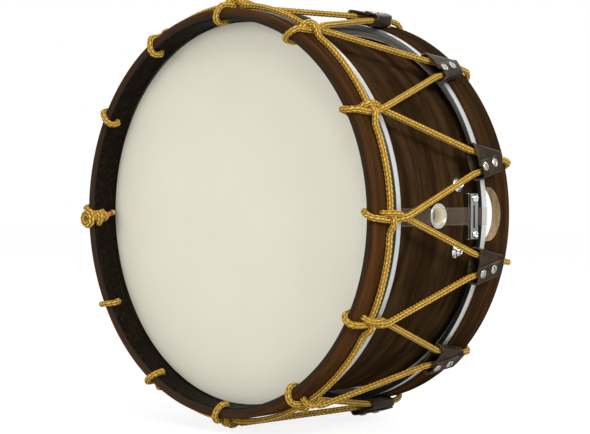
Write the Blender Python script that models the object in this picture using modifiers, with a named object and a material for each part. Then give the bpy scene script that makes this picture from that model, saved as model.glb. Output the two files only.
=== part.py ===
# Rope-tensioned field drum.
# The drum is modelled standing, batter head up, about its own Z axis. Depth is measured down from the batter
# hoop's top edge. An empty then lays the drum on its side, so that the batter head faces -Y.

import math

import bmesh
import bpy
from mathutils import Matrix, Vector

mm = 0.001

# Hoops, shell and heads
hoopOuter = 220 * mm
hoopInner = 208 * mm
hoopEdge = 3 * mm
batterHoopDepth = 33 * mm
snareHoopDepth = 38.5 * mm
overallLength = 227.3 * mm
snareHoopTop = overallLength - snareHoopDepth
shellOuter = 203.2 * mm
shellInner = 195.2 * mm
shellTop = 32.2 * mm
shellBottom = 195.1 * mm
shellEdge = 3 * mm
ringWall = 6 * mm
ringWidth = 38 * mm
filmThick = 0.6 * mm
fleshInner = 210.8 * mm
fleshOuter = 216.7 * mm
fleshWidth = 9 * mm
gap = 0.3 * mm
ringSteps = 40

# Rope and its weave: heights are measured outward from the hoops' outer face
ropeRadius = 3.9 * mm
ropeLow = 4.2 * mm
ropeHigh = 12.5 * mm
batterHoles = 12
batterHoleTurn = math.radians(-0.3)
weaveOffset = 7.6 * mm
batterHoleDepth = 12 * mm
runningDepth = 20.3 * mm
snareHoleDepth = 204 * mm
snareHoleOffset = -4.2 * mm
ropeHole = 4.9 * mm
ropeInside = -16.8 * mm
strandInTug = 6.5 * mm
mouthOffset = 12.6 * mm
mouthDepth = 158.5 * mm

# Leather tugs
tugFront = 157 * mm
tugFloorEnd = 198.5 * mm
tugRear = 202.5 * mm
tugFrontHalf = 19.6 * mm
tugRearHalf = 10.8 * mm
tugFloor = 1.35 * mm
tugCeiling = 11.8 * mm
leather = 1.9 * mm
tugRivet = 4.85 * mm
tugFlapLow = 12.2 * mm
tugFlapHigh = 14.4 * mm
tugRivetTop = 16.4 * mm

# Vent, butt clamp and its bolts, on the visible side (angle 0)
ventDepth = 120 * mm
ventFlange = 13.8 * mm
ventTube = 11 * mm
ventBore = 9 * mm
strapHalf = 9.1 * mm
strapThick = 0.9 * mm
clampDepth = 170.2 * mm
clampLength = 49 * mm
clampWidth = 13 * mm
clampScrewOffset = 19 * mm
boltDepth = 157 * mm
boltAngle = math.radians(9.5)
gateHalf = 28 * mm
gateDepth = 18 * mm
clampScrew = 1.9 * mm
clampScrewHead = 4.4 * mm
clampHole = 2.3 * mm
headBolt = 2.5 * mm
headBoltHead = 5 * mm
headBoltHole = 2.9 * mm
washerRise = 2.9 * mm

# Strainer, on the far side (angle 180 degrees)
strainerSide = math.pi
leverPinDepth = 126 * mm
leverPinRadius = 211.6 * mm
leverPin = 1.6 * mm
baseHalf = 28 * mm
cheekInner = 15 * mm
cheekWall = 2.4 * mm
leverPinPlay = 0.25 * mm
leverHub = 4 * mm
leverHubHalf = 13 * mm
baseTop = 108 * mm
baseBottom = 176 * mm
baseThick = 2.6 * mm
cheekTop = 216 * mm
baseScrewOffset = 23 * mm
baseScrewDepths = (116 * mm, 168 * mm)
baseScrew = 1.9 * mm
baseScrewHead = 3.8 * mm
baseHole = 2.2 * mm
knobRadius = 7.2 * mm
knobLength = 9 * mm
knobRod = 2.2 * mm
rodRadius = 211 * mm

# Reach of the cutters that go through the shell, the hoops and what is screwed on them
cutLow = 190 * mm
cutHigh = 230 * mm

# Snares under the rear head
snareStrands = 10
snareSpacing = 3.4 * mm
snareHalfLength = 158 * mm
snareDepth = 198.2 * mm
snareRadius = 0.9 * mm

# The drum rests on the weave of the rope, its lowest point
restHeight = hoopOuter + ropeHigh + ropeRadius
middleDepth = 110.4 * mm


def clearScene():
    for item in list(bpy.data.objects):
        bpy.data.objects.remove(item, do_unlink=True)


def collectionFor(name):
    group = bpy.data.collections.new(name)
    bpy.context.scene.collection.children.link(group)
    return group


def makeMaterial(name, colour, roughness, metallic=0.0):
    made = bpy.data.materials.new(name)
    made.use_nodes = True
    shader = made.node_tree.nodes["Principled BSDF"]
    shader.inputs["Base Color"].default_value = (*colour, 1.0)
    shader.inputs["Roughness"].default_value = roughness
    shader.inputs["Metallic"].default_value = metallic
    made.diffuse_color = (*colour, 1.0)
    return made


clearScene()
parts = collectionFor("field_drum")
cutters = collectionFor("cutters")
drumAxis = bpy.data.objects.new("drum_axis", None)
drumAxis.location = (0, -middleDepth, restHeight)
drumAxis.rotation_euler = (math.pi / 2, 0, 0)
parts.objects.link(drumAxis)

walnut = makeMaterial("stained_walnut", (0.055, 0.028, 0.016), 0.45)
rawWood = makeMaterial("raw_ply", (0.42, 0.27, 0.15), 0.6)
film = makeMaterial("coated_film", (0.74, 0.71, 0.6), 0.5)
thinFilm = makeMaterial("thin_film", (0.7, 0.7, 0.66), 0.25)
aluminium = makeMaterial("aluminium", (0.7, 0.7, 0.71), 0.3, 1.0)
chrome = makeMaterial("chrome", (0.75, 0.75, 0.77), 0.12, 1.0)
ropeGold = makeMaterial("gold_rope", (0.5, 0.31, 0.07), 0.85)
redThread = makeMaterial("red_thread", (0.55, 0.05, 0.04), 0.7)
oiledLeather = makeMaterial("oiled_leather", (0.045, 0.035, 0.02), 0.6)
clearPlastic = makeMaterial("clear_plastic", (0.6, 0.58, 0.58), 0.2)
snareWire = makeMaterial("snare_cable", (0.55, 0.55, 0.56), 0.35, 1.0)


def place(item, matrix=Matrix.Identity(4)):
    # Everything hangs on the drum's axis, so that it lies down as one
    item.parent = drumAxis
    item.matrix_local = matrix


def addPart(name, mesh, material, matrix=Matrix.Identity(4), smoothAngle=35):
    mesh.name = name
    mesh.materials.clear()
    mesh.materials.append(material)
    mesh.shade_smooth()
    mesh.set_sharp_from_angle(angle=math.radians(smoothAngle))
    made = bpy.data.objects.new(name, mesh)
    parts.objects.link(made)
    place(made, matrix)
    return made


def addCutter(name, mesh, matrix=Matrix.Identity(4)):
    made = bpy.data.objects.new(name, mesh)
    cutters.objects.link(made)
    made.hide_render = True
    made.display_type = "WIRE"
    place(made, matrix)
    return made


def combine(item, other, operation):
    step = item.modifiers.new(operation.lower(), "BOOLEAN")
    step.operation = operation
    step.solver = "EXACT"
    step.object = other
    return step


def bevelled(item, width, angle=40, segments=1):
    step = item.modifiers.new("edges", "BEVEL")
    step.width = width
    step.segments = segments
    step.limit_method = "ANGLE"
    step.angle_limit = math.radians(angle)
    return step


def atSide(angle, depth=0.0):
    # Frame on the drum's side: X points outward, Y along the hoop, Z toward the batter head
    return Matrix.Rotation(angle, 4, "Z") @ Matrix.Translation((0, 0, -depth))


def onHoop(angle, along, height, depth):
    # A point beside the hoop, by its distance along the outer face and its height above it
    turn = angle + along / hoopOuter
    radius = hoopOuter + height
    return Vector((radius * math.cos(turn), radius * math.sin(turn), -depth))


def turned(name, profile, material, steps=ringSteps, matrix=Matrix.Identity(4), closed=True):
    # A profile of (radius, depth) pairs, run down the outer side and up the inner one
    mesh = bpy.data.meshes.new(name)
    points = [(radius, 0, -depth) for radius, depth in profile]
    edges = [(at, at + 1) for at in range(len(points) - 1)]
    if closed:
        edges.append((len(points) - 1, 0))
    mesh.from_pydata(points, edges, [])
    made = addPart(name, mesh, material, matrix)
    screw = made.modifiers.new("turn", "SCREW")
    screw.steps = steps
    screw.render_steps = steps
    screw.use_merge_vertices = True
    screw.merge_threshold = 0.00001
    screw.use_normal_calculate = False
    screw.use_smooth_shade = True
    return made


def applied(item):
    # The evaluated mesh takes the modifiers' place
    graph = bpy.context.evaluated_depsgraph_get()
    mesh = bpy.data.meshes.new_from_object(item.evaluated_get(graph))
    shape = bmesh.new()
    shape.from_mesh(mesh)
    bmesh.ops.remove_doubles(shape, verts=shape.verts, dist=0.000001)
    shape.to_mesh(mesh)
    shape.free()
    return mesh


def cylinderMesh(name, radius, low, high, segments=12, topRadius=None, flat=1.0):
    # A cylinder or cone along X, from low to high, as on the drum's side
    shape = bmesh.new()
    turn = Matrix.Translation(((low + high) / 2, 0, 0)) @ Matrix.Rotation(math.pi / 2, 4, "Y")
    narrow = Matrix.Diagonal((1, 1, flat, 1))
    bmesh.ops.create_cone(shape, cap_ends=True, cap_tris=False, segments=segments, radius1=radius,
                          radius2=radius if topRadius is None else topRadius, depth=high - low,
                          matrix=narrow @ turn)
    mesh = bpy.data.meshes.new(name)
    shape.to_mesh(mesh)
    shape.free()
    return mesh


def boxMesh(name, low, high):
    shape = bmesh.new()
    bmesh.ops.create_cube(shape, size=1)
    size = [top - bottom for bottom, top in zip(low, high)]
    middle = [(top + bottom) / 2 for bottom, top in zip(low, high)]
    bmesh.ops.transform(shape, verts=shape.verts,
                        matrix=Matrix.Translation(middle) @ Matrix.Diagonal((*size, 1)))
    mesh = bpy.data.meshes.new(name)
    shape.to_mesh(mesh)
    shape.free()
    return mesh


def joinedMesh(name, pieces):
    # Several closed meshes in one, used only as a cutter or before a Boolean union
    shape = bmesh.new()
    for mesh, matrix in pieces:
        start = len(shape.verts)
        shape.from_mesh(mesh)
        shape.verts.ensure_lookup_table()
        bmesh.ops.transform(shape, verts=shape.verts[start:], matrix=matrix)
    joined = bpy.data.meshes.new(name)
    shape.to_mesh(joined)
    shape.free()
    return joined


def tube(name, points, radius, material, cyclic=False, radii=None, resolution=2):
    curve = bpy.data.curves.new(name, "CURVE")
    curve.dimensions = "3D"
    curve.bevel_depth = radius
    curve.bevel_resolution = resolution
    curve.use_fill_caps = True
    line = curve.splines.new("POLY")
    line.points.add(len(points) - 1)
    for at, point in enumerate(points):
        line.points[at].co = (*point, 1.0)
        line.points[at].radius = radii[at] if radii else 1.0
    line.use_cyclic_u = cyclic
    curve.materials.append(material)
    made = bpy.data.objects.new(name, curve)
    parts.objects.link(made)
    place(made)
    return made


def tubeMesh(name, points, radius, radii=None):
    # The same tube as a closed mesh, for a Boolean
    item = tube(name, points, radius, ropeGold, radii=radii)
    mesh = applied(item)
    bpy.data.objects.remove(item, do_unlink=True)
    return mesh


def ribbon(name, route, thick, half, material, matrix=Matrix.Identity(4)):
    # A strap of (radius, depth) points along its middle, its outline drawn flat and then extruded sideways
    middle = [Vector(point) for point in route]
    upper = []
    lower = []
    for at, point in enumerate(middle):
        before = middle[max(at - 1, 0)]
        after = middle[min(at + 1, len(middle) - 1)]
        first = (point - before).normalized() if at else (after - point).normalized()
        second = (after - point).normalized() if at < len(middle) - 1 else first
        mitre = (first + second).normalized()
        normal = Vector((-mitre.y, mitre.x))
        reach = thick / 2 / max(mitre.dot(first), 0.5)
        upper.append(point + normal * reach)
        lower.append(point - normal * reach)
    outline = upper + lower[::-1]
    curve = bpy.data.curves.new(name, "CURVE")
    curve.dimensions = "2D"
    curve.fill_mode = "BOTH"
    curve.extrude = half
    line = curve.splines.new("POLY")
    line.points.add(len(outline) - 1)
    for at, point in enumerate(outline):
        line.points[at].co = (point.x, -point.y, 0, 1)
    line.use_cyclic_u = True
    curve.materials.append(material)
    made = bpy.data.objects.new(name, curve)
    parts.objects.link(made)
    # The outline's X is the radius and its Y runs toward the batter head, so it stands up about X
    place(made, matrix @ Matrix.Rotation(math.pi / 2, 4, "X"))
    return made


def makeShell():
    shell = turned("shell", [
        (shellOuter - shellEdge, shellTop),
        (shellOuter, shellTop + shellEdge),
        (shellOuter, shellBottom - shellEdge),
        (shellOuter - shellEdge, shellBottom),
        (shellInner, shellBottom - 2 * mm),
        (shellInner, shellTop + 2 * mm)], walnut)
    holes = [(cylinderMesh("vent_hole", ventTube + gap, cutLow, cutHigh, 16), atSide(0, ventDepth))]
    for side in (-1, 1):
        boltHole = cylinderMesh("bolt_hole", headBoltHole, cutLow, cutHigh, 8)
        holes.append((boltHole, atSide(side * boltAngle, boltDepth)))
        shift = Matrix.Translation((0, side * clampScrewOffset, 0))
        screwHole = cylinderMesh("clamp_hole", clampHole, cutLow, cutHigh, 8)
        holes.append((screwHole, atSide(0, clampDepth) @ shift))
        for depth in baseScrewDepths:
            shift = Matrix.Translation((0, side * baseScrewOffset, 0))
            hole = cylinderMesh("base_hole", baseHole, cutLow, cutHigh, 8)
            holes.append((hole, atSide(strainerSide, depth) @ shift))
    cutter = addCutter("shell_holes", joinedMesh("shell_holes", holes))
    combine(shell, cutter, "DIFFERENCE")
    for name, top in (("shell_ring_batter", shellTop + 3 * mm),
                      ("shell_ring_snare", shellBottom - 3 * mm - ringWidth + 18 * mm)):
        width = ringWidth if name.endswith("batter") else ringWidth - 18 * mm
        outer = shellInner - gap
        turned(name, [(outer, top), (outer, top + width), (outer - ringWall, top + width),
                      (outer - ringWall, top)], rawWood)


def makeHeads():
    # Film, its bend over the shell's edge and the collar that flares out to the metal rim
    collar = [(0, 0), (201.4, 0), (204.0, 1.6), (205.0, 5.0), (210.4, 8.4)]
    top = shellTop - gap - filmThick
    outer = [(radius * mm, top + rise * mm) for radius, rise in collar]
    inner = [(0, 0.6), (201.2, 0.6), (203.4, 2.2), (204.4, 5.4), (209.9, 9.2)]
    under = [(radius * mm, top + rise * mm) for radius, rise in inner]
    turned("batter_head", outer + under[::-1], film, closed=False)
    base = shellBottom + gap + filmThick
    outer = [(radius * mm, base - rise * mm) for radius, rise in collar]
    under = [(radius * mm, base - rise * mm) for radius, rise in inner]
    turned("snare_head", under + outer[::-1], thinFilm, closed=False)


def makeFleshHoop(name, top):
    turned(name, [(fleshOuter, top), (fleshOuter, top + fleshWidth), (fleshInner, top + fleshWidth),
                  (fleshInner, top)], aluminium)


def makeCounterhoop(name, top, width, holeDepth, holeTurn):
    bottom = top + width
    hoop = turned(name, [(hoopOuter - hoopEdge, top), (hoopOuter, top + hoopEdge),
                         (hoopOuter, bottom - hoopEdge), (hoopOuter - hoopEdge, bottom),
                         (hoopInner + hoopEdge, bottom),
                         (hoopInner, bottom - hoopEdge), (hoopInner, top + hoopEdge),
                         (hoopInner + hoopEdge, top)], walnut)
    cuts = []
    for number in range(batterHoles):
        angle = holeTurn + 2 * math.pi * number / batterHoles
        cuts.append((cylinderMesh("rope_hole", ropeHole, cutLow, cutHigh, 8), atSide(angle, holeDepth)))
    if name.startswith("snare"):
        for angle in (0, strainerSide):
            gate = cylinderMesh("snare_gate", gateHalf, cutLow, cutHigh, 24, flat=gateDepth / gateHalf)
            cuts.append((gate, atSide(angle, top)))
    combine(hoop, addCutter(name + "_cuts", joinedMesh(name + "_cuts", cuts)), "DIFFERENCE")


def batterJunction(angle):
    # Strand that arrives, goes under the running rope, over the edge and out through the hole,
    # then over the running rope: (along, height, depth)
    low = ropeLow
    route = [(-3.2, 10.8, 38), (-7.6, low / mm, 24), (-6, low / mm, 15), (3, low / mm, 1.3),
             (4, -1.3, -4.2), (5, -10.7, -4.2), (6, ropeInside / mm, 1.8), (7.6, ropeInside / mm, 12),
             (7.6, 7.7, 12), (7.6, ropeHigh / mm, 16.8), (7.6, ropeHigh / mm, 23.8), (3.2, 2.0, 38)]
    return [onHoop(angle, along * mm, height * mm, depth * mm) for along, height, depth in route]


def tugTurn(angle):
    # Through the tug, over the rear edge, out through the hole and forward through the same tug
    inside = strandInTug / mm
    side = mouthOffset / mm
    hole = snareHoleDepth / mm
    end = overallLength / mm
    offset = snareHoleOffset / mm
    mouth = mouthDepth / mm
    route = [(side, inside, mouth), (4, inside, 209), (1, ropeLow / mm, end - 1.3), (-0.5, -1.3, end + 4.2),
             (-2.5, -10.7, end + 4.2), (-3, ropeInside / mm, end - 1.8), (offset, ropeInside / mm, hole),
             (offset, 2.5, hole), (offset - 0.2, inside, hole - 3), (-side, inside, mouth)]
    return [onHoop(angle, along * mm, height * mm, depth * mm) for along, height, depth in route]


def makeRopes():
    step = 2 * math.pi / batterHoles
    # The rope starts in the hole at the far side and ends at the edge there, under the knot
    start = strainerSide + batterHoleTurn
    path = batterJunction(start)[7:]
    for number in range(batterHoles):
        path += tugTurn(strainerSide - (number + 0.5) * step)
        path += batterJunction(start - (number + 1) * step)
    tube("tension_rope", path[:-8], ropeRadius, ropeGold)
    woven = []
    for number in range(batterHoles):
        angle = number * step + batterHoleTurn
        for along, height in ((-20, 4.2), (-10.5, 12.5), (-4.67, 12.5), (4.67, 4.2)):
            woven.append(onHoop(angle, along * mm, height * mm, runningDepth))
        span = step * hoopOuter - 24.67 * mm
        for part in (1, 2, 3):
            along = 4.67 * mm + span * part / 4
            woven.append(onHoop(angle, along, ropeLow + 0.3 * mm, runningDepth))
    tube("running_rope", woven, ropeRadius, ropeGold, cyclic=True)


def makeKnot():
    # Spliced eye before the hoop's edge, stopper knot inside the hoop and the tapered tail
    eyeCentre = Vector((-206.5 * mm, -1.5 * mm, 6 * mm))
    face = Vector((math.sin(math.radians(25)), 0, math.cos(math.radians(25))))
    across = Vector((-math.cos(math.radians(25)), 0, math.sin(math.radians(25))))
    ring = []
    for number in range(14):
        turn = 2 * math.pi * number / 14
        offset = across * math.cos(turn) + Vector((0, 1, 0)) * math.sin(turn)
        ring.append(eyeCentre + offset * 10 * mm)
    eye = tube("rope_end_eye", ring, 4.3 * mm, ropeGold, cyclic=True)
    eyeMesh = applied(eye)
    bpy.data.objects.remove(eye, do_unlink=True)
    tail = [Vector((-197.5, -1, 1)) * mm, Vector((-194.5, -1, -4)) * mm, Vector((-195.5, 0.5, -11)) * mm,
            Vector((-198.5, 3, -17)) * mm, Vector((-199.5, 4.5, -22.5)) * mm]
    knot = tubeMesh("stopper", tail, 4 * mm, radii=[1.0, 1.75, 1.9, 1.2, 0.75])
    item = addPart("rope_end_knot", eyeMesh, ropeGold)
    combine(item, addCutter("stopper", knot), "UNION")
    whip = [tail[4] + (tail[4] - tail[3]).normalized() * 0.3 * mm]
    whip.append(whip[0] + (tail[4] - tail[3]).normalized() * 5 * mm)
    tube("tail_whipping", whip, 3.1 * mm, redThread)


def tugShape():
    # A strip of leather wrapped into a flat tube that narrows to the rear, with the overlap riveted on top
    shape = bmesh.new()
    rows = []
    for depth in (tugFront, tugFloorEnd, tugRear):
        share = (depth - tugFront) / (tugRear - tugFront)
        half = tugFrontHalf + (tugRearHalf - tugFrontHalf) * share
        turnIn = 3.6 * mm
        section = [(0, tugFloor), (half - turnIn, tugFloor), (half - 0.8 * mm, tugFloor + 1.8 * mm),
                   (half, (tugFloor + tugCeiling) / 2), (half - 0.8 * mm, tugCeiling - 1.8 * mm),
                   (half - turnIn, tugCeiling), (0, tugCeiling)]
        section += [(-along, height) for along, height in section[-2:0:-1]]
        rows.append([shape.verts.new(onHoop(0, along, height, depth)) for along, height in section])
    count = len(rows[0])
    for row, after in zip(rows, rows[1:]):
        for at in range(count):
            if row is rows[1] and at in (0, 1, count - 2, count - 1):
                continue
            beside = (at + 1) % count
            shape.faces.new((row[at], row[beside], after[beside], after[at]))
    mesh = bpy.data.meshes.new("tug_skin")
    bmesh.ops.recalc_face_normals(shape, faces=shape.faces)
    shape.to_mesh(mesh)
    shape.free()
    skin = addPart("tug_skin", mesh, oiledLeather)
    shell = skin.modifiers.new("leather", "SOLIDIFY")
    shell.thickness = leather
    shell.offset = 0
    shell.use_even_offset = True
    flap = addCutter("tug_flap", tugFlap())
    combine(skin, flap, "UNION")
    rivets = []
    for along, depth in ((-6.5 * mm, 169.5 * mm), (-2.5 * mm, 187 * mm)):
        rise = Matrix.Translation((hoopOuter, along, -depth))
        head = cylinderMesh("rivet", tugRivet, tugFlapHigh - 0.8 * mm, tugRivetTop, 8,
                            topRadius=tugRivet * 0.7)
        rivets.append((head, rise))
    combine(skin, addCutter("tug_rivets", joinedMesh("tug_rivets", rivets)), "UNION")
    made = applied(skin)
    bpy.data.objects.remove(skin, do_unlink=True)
    return made


def tugFlap():
    # The overlap's outline by (along, depth), with its pointed rear corner
    outline = [(-14, 161.5), (-0.5, 160.5), (8.5, 204), (-9.5, 199.5)]
    shape = bmesh.new()
    low = [shape.verts.new(onHoop(0, along * mm, tugFlapLow, depth * mm)) for along, depth in outline]
    high = [shape.verts.new(onHoop(0, along * mm, tugFlapHigh, depth * mm)) for along, depth in outline]
    shape.faces.new(low)
    shape.faces.new(high)
    for at in range(4):
        beside = (at + 1) % 4
        shape.faces.new((low[at], low[beside], high[beside], high[at]))
    bmesh.ops.recalc_face_normals(shape, faces=shape.faces)
    mesh = bpy.data.meshes.new("tug_flap")
    shape.to_mesh(mesh)
    shape.free()
    return mesh


def makeTugs():
    shape = tugShape()
    for number in range(batterHoles):
        angle = math.radians(15 + 30 * number)
        addPart(f"tug_{number + 1:02d}", shape, oiledLeather, atSide(angle))


def makeScrew(name, matrix, shankRadius, headRadius, low, seat, headRise, segments=10):
    # A round head screw along the side frame's X, its head seated at the given radius
    profile = [(0, headRise), (headRadius * 0.62, headRise * 0.8), (headRadius, headRise * 0.12),
               (headRadius, 0), (shankRadius, 0), (shankRadius, low - seat), (0, low - seat)]
    stand = matrix @ Matrix.Translation((seat, 0, 0)) @ Matrix.Rotation(math.pi / 2, 4, "Y")
    return turned(name, [(radius, -rise) for radius, rise in profile], chrome, steps=segments, matrix=stand,
                  closed=False)


def makeVent():
    seat = shellOuter + gap
    flange = ventFlange / mm
    bore = ventBore / mm
    wall = ventTube / mm
    profile = [(bore, -1.6), (flange - 2, -1.6), (flange, -0.5), (flange, 0), (wall, 0),
               (wall, 9.4), (wall + 1.4, 10.0), (wall + 1.4, 10.8), (bore, 10.8)]
    stand = atSide(0, ventDepth) @ Matrix.Translation((seat, 0, 0)) @ Matrix.Rotation(math.pi / 2, 4, "Y")
    turned("vent_eyelet", [(radius * mm, depth * mm) for radius, depth in profile], chrome, steps=16,
           matrix=stand)


def makeButt():
    # Strap from under the first crossing, over the vent, through the clamp, over the metal rim and down
    # through the gate to the snares
    route = [(204.0, 47), (205.9, 104), (205.9, 136), (211.2, 163), (211.2, 177.2), (217.6, 179.3),
             (217.6, 189.6), (208.5, 196.6), (204.2, 198.2), (164, 198.2)]
    ribbon("butt_strap", [(radius * mm, depth * mm) for radius, depth in route], strapThick, strapHalf,
           clearPlastic)
    spot = atSide(0, clampDepth)
    half = clampLength / 2
    wide = clampWidth / 2
    base = addPart("butt_base_plate", boxMesh("butt_base_plate", (shellOuter + gap, -half, -wide),
                                              (210.4 * mm, half, wide)), chrome, spot)
    seatMesh = cylinderMesh("base_seat", shellOuter + gap, -20 * mm, 20 * mm, ringSteps * 2)
    curve = addCutter("base_seat", seatMesh, spot @ Matrix.Rotation(math.pi / 2, 4, "Y"))
    combine(base, curve, "DIFFERENCE")
    plate = addPart("butt_clamp_plate", boxMesh("butt_clamp_plate", (212 * mm, -half, -wide),
                                                (214.6 * mm, half, wide)), chrome, spot)
    bevelled(plate, 0.8 * mm)
    slot = boxMesh("slot", (205 * mm, -14 * mm, -1.2 * mm), (220 * mm, 14 * mm, 1.2 * mm))
    cuts = [(slot, Matrix.Identity(4))]
    holes = []
    for side in (-1, 1):
        shift = Matrix.Translation((0, side * clampScrewOffset, 0))
        holes.append((cylinderMesh("clamp_hole", clampHole, cutLow, cutHigh, 8), shift))
    combine(plate, addCutter("clamp_cuts", joinedMesh("clamp_cuts", cuts + holes), spot), "DIFFERENCE")
    combine(base, addCutter("base_cuts", joinedMesh("base_cuts", holes), spot), "DIFFERENCE")
    for side, word in ((-1, "left"), (1, "right")):
        shift = Matrix.Translation((0, side * clampScrewOffset, 0))
        makeScrew("butt_screw_" + word, spot @ shift, clampScrew, clampScrewHead, 192 * mm, 214.9 * mm,
                  2.9 * mm)
        turnTo = atSide(side * boltAngle, boltDepth)
        makeScrew("mushroom_bolt_" + word, turnTo, headBolt, headBoltHead, 188 * mm,
                  shellOuter + gap + washerRise + 0.6 * mm, 3.4 * mm)
        makeCupWasher("cup_washer_" + word, turnTo)
        makeNut("bolt_nut_" + word, turnTo)


def makeCupWasher(name, matrix):
    rise = washerRise / mm
    bore = headBoltHole / mm
    profile = [(5.4, rise), (8, 0.9), (8, 0), (bore, 0), (bore, rise)]
    stand = matrix @ Matrix.Translation((shellOuter + gap, 0, 0)) @ Matrix.Rotation(math.pi / 2, 4, "Y")
    turned(name, [(radius * mm, -height * mm) for radius, height in profile], chrome, steps=14, matrix=stand)


def makeNut(name, matrix):
    nut = addPart(name, cylinderMesh(name, 4.8 * mm, 190.4 * mm, 194.4 * mm, 6), chrome, matrix)
    hole = addCutter(name + "_hole", cylinderMesh(name + "_hole", 2.8 * mm, 180 * mm, 200 * mm, 8), matrix)
    combine(nut, hole, "DIFFERENCE")


def makeStrainer():
    spot = atSide(strainerSide, 0)
    seat = shellOuter + gap
    low = -baseBottom
    high = -baseTop
    plate = boxMesh("strainer_base", (seat, -baseHalf, low), (seat + baseThick, baseHalf, high))
    base = addPart("strainer_base", plate, chrome, spot)
    for side in (-1, 1):
        inner = side * cheekInner
        outer = side * (cheekInner + cheekWall)
        cheek = boxMesh("cheek", (seat + 1 * mm, min(inner, outer), low + 3 * mm),
                        (cheekTop, max(inner, outer), high + 3 * mm))
        combine(base, addCutter(f"cheek_{side}", cheek, spot), "UNION")
    bridge = boxMesh("bridge", (seat + 1 * mm, -cheekInner - 1 * mm, high - 3 * mm),
                     (cheekTop, cheekInner + 1 * mm, high + 1.5 * mm))
    combine(base, addCutter("bridge", bridge, spot), "UNION")
    bores = [(cylinderMesh("pin_bore", leverPin + 0.05 * mm, -20 * mm, 20 * mm, 12),
              Matrix.Translation((leverPinRadius, 0, -leverPinDepth)) @ Matrix.Rotation(math.pi / 2, 4, "Z")),
             (cylinderMesh("rod_bore", knobRod + 0.4 * mm, -10 * mm, 10 * mm, 10),
              Matrix.Translation((rodRadius, 0, high)) @ Matrix.Rotation(math.pi / 2, 4, "Y"))]
    for side in (-1, 1):
        for depth, row in zip(baseScrewDepths, ("front", "rear")):
            shift = Matrix.Translation((0, side * baseScrewOffset, -depth))
            bores.append((cylinderMesh("base_hole", baseHole, cutLow, cutHigh, 8), shift))
            word = ("left_" if side < 0 else "right_") + row
            makeScrew("base_screw_" + word, spot @ shift, baseScrew, baseScrewHead, cutLow,
                      seat + baseThick + gap, 2.4 * mm, 8)
    combine(base, addCutter("base_bores", joinedMesh("base_bores", bores), spot), "DIFFERENCE")
    makeSlider(spot)
    makeLever(spot)
    makeKnob(spot, high)
    route = [(212.2, 158), (212.2, 175.5), (217.6, 179.4), (217.6, 189.6), (208.5, 196.6), (204.2, 198.2),
             (164, 198.2)]
    ribbon("strainer_strap", [(radius * mm, depth * mm) for radius, depth in route], strapThick, strapHalf,
           clearPlastic, Matrix.Rotation(strainerSide, 4, "Z"))


def makeSlider(spot):
    # Block between the cheeks, and the plate that clamps the strap on it
    half = cheekInner - 0.4 * mm
    slider = addPart("strainer_slider", boxMesh("strainer_slider", (206.7 * mm, -half, -170 * mm),
                                                (211.4 * mm, half, -142 * mm)), chrome, spot)
    bevelled(slider, 0.6 * mm)
    plate = addPart("strainer_clamp_plate", boxMesh("strainer_clamp_plate", (213 * mm, -half, -169 * mm),
                                                    (215.4 * mm, half, -157 * mm)), chrome, spot)
    bevelled(plate, 0.6 * mm)
    holes = []
    for side, word in ((-1, "left"), (1, "right")):
        shift = Matrix.Translation((0, side * 11.8 * mm, -163 * mm))
        holes.append((cylinderMesh("hole", 1.6 * mm, cutLow, cutHigh, 8), shift))
        makeScrew("clamp_screw_" + word, spot @ shift, 1.3 * mm, 2.5 * mm, 207.3 * mm, 215.7 * mm,
                  1.9 * mm, 8)
    cutter = addCutter("slider_holes", joinedMesh("slider_holes", holes), spot)
    combine(slider, cutter, "DIFFERENCE")
    combine(plate, cutter, "DIFFERENCE")


def makeLever(spot):
    # Pin across the cheeks, and the throw-off lever that lies over the slider when the snares are on
    pin = cylinderMesh("strainer_pin", leverPin, -19 * mm, 19 * mm, 12)
    onPin = spot @ Matrix.Translation((leverPinRadius, 0, -leverPinDepth))
    addPart("strainer_pin", pin, chrome, onPin @ Matrix.Rotation(math.pi / 2, 4, "Z"))
    hub = cylinderMesh("strainer_lever", leverHub, -leverHubHalf, leverHubHalf, 16)
    lever = addPart("strainer_lever", hub, chrome, onPin @ Matrix.Rotation(math.pi / 2, 4, "Z"))
    reach = [(1.5, 0), (6.6, -12), (7.2, -40), (9.4, -52)]
    armItem = ribbon("lever_strip", [(rise * mm, -along * mm) for rise, along in reach], 3 * mm, 6 * mm,
                     chrome, onPin)
    armMesh = applied(armItem)
    placed = armItem.matrix_local.copy()
    bpy.data.objects.remove(armItem, do_unlink=True)
    combine(lever, addCutter("lever_arm", armMesh, placed), "UNION")
    bore = cylinderMesh("lever_bore", leverPin + leverPinPlay, -15 * mm, 15 * mm, 16)
    combine(lever, addCutter("lever_bore", bore, onPin @ Matrix.Rotation(math.pi / 2, 4, "Z")), "DIFFERENCE")


def makeKnob(spot, high):
    # Knurled thumb screw ahead of the bridge, with its rod through it
    onRod = spot @ Matrix.Translation((rodRadius, 0, high + 2 * mm))
    knob = cylinderMesh("strainer_knob", knobRadius, 0, knobLength, 18)
    turn = Matrix.Rotation(-math.pi / 2, 4, "Y")
    item = addPart("strainer_knob", knob, chrome, onRod @ turn)
    bevelled(item, 0.9 * mm)
    rod = addCutter("knob_rod", cylinderMesh("knob_rod", knobRod, -9.5 * mm, 4 * mm, 10), onRod @ turn)
    combine(item, rod, "UNION")


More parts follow.
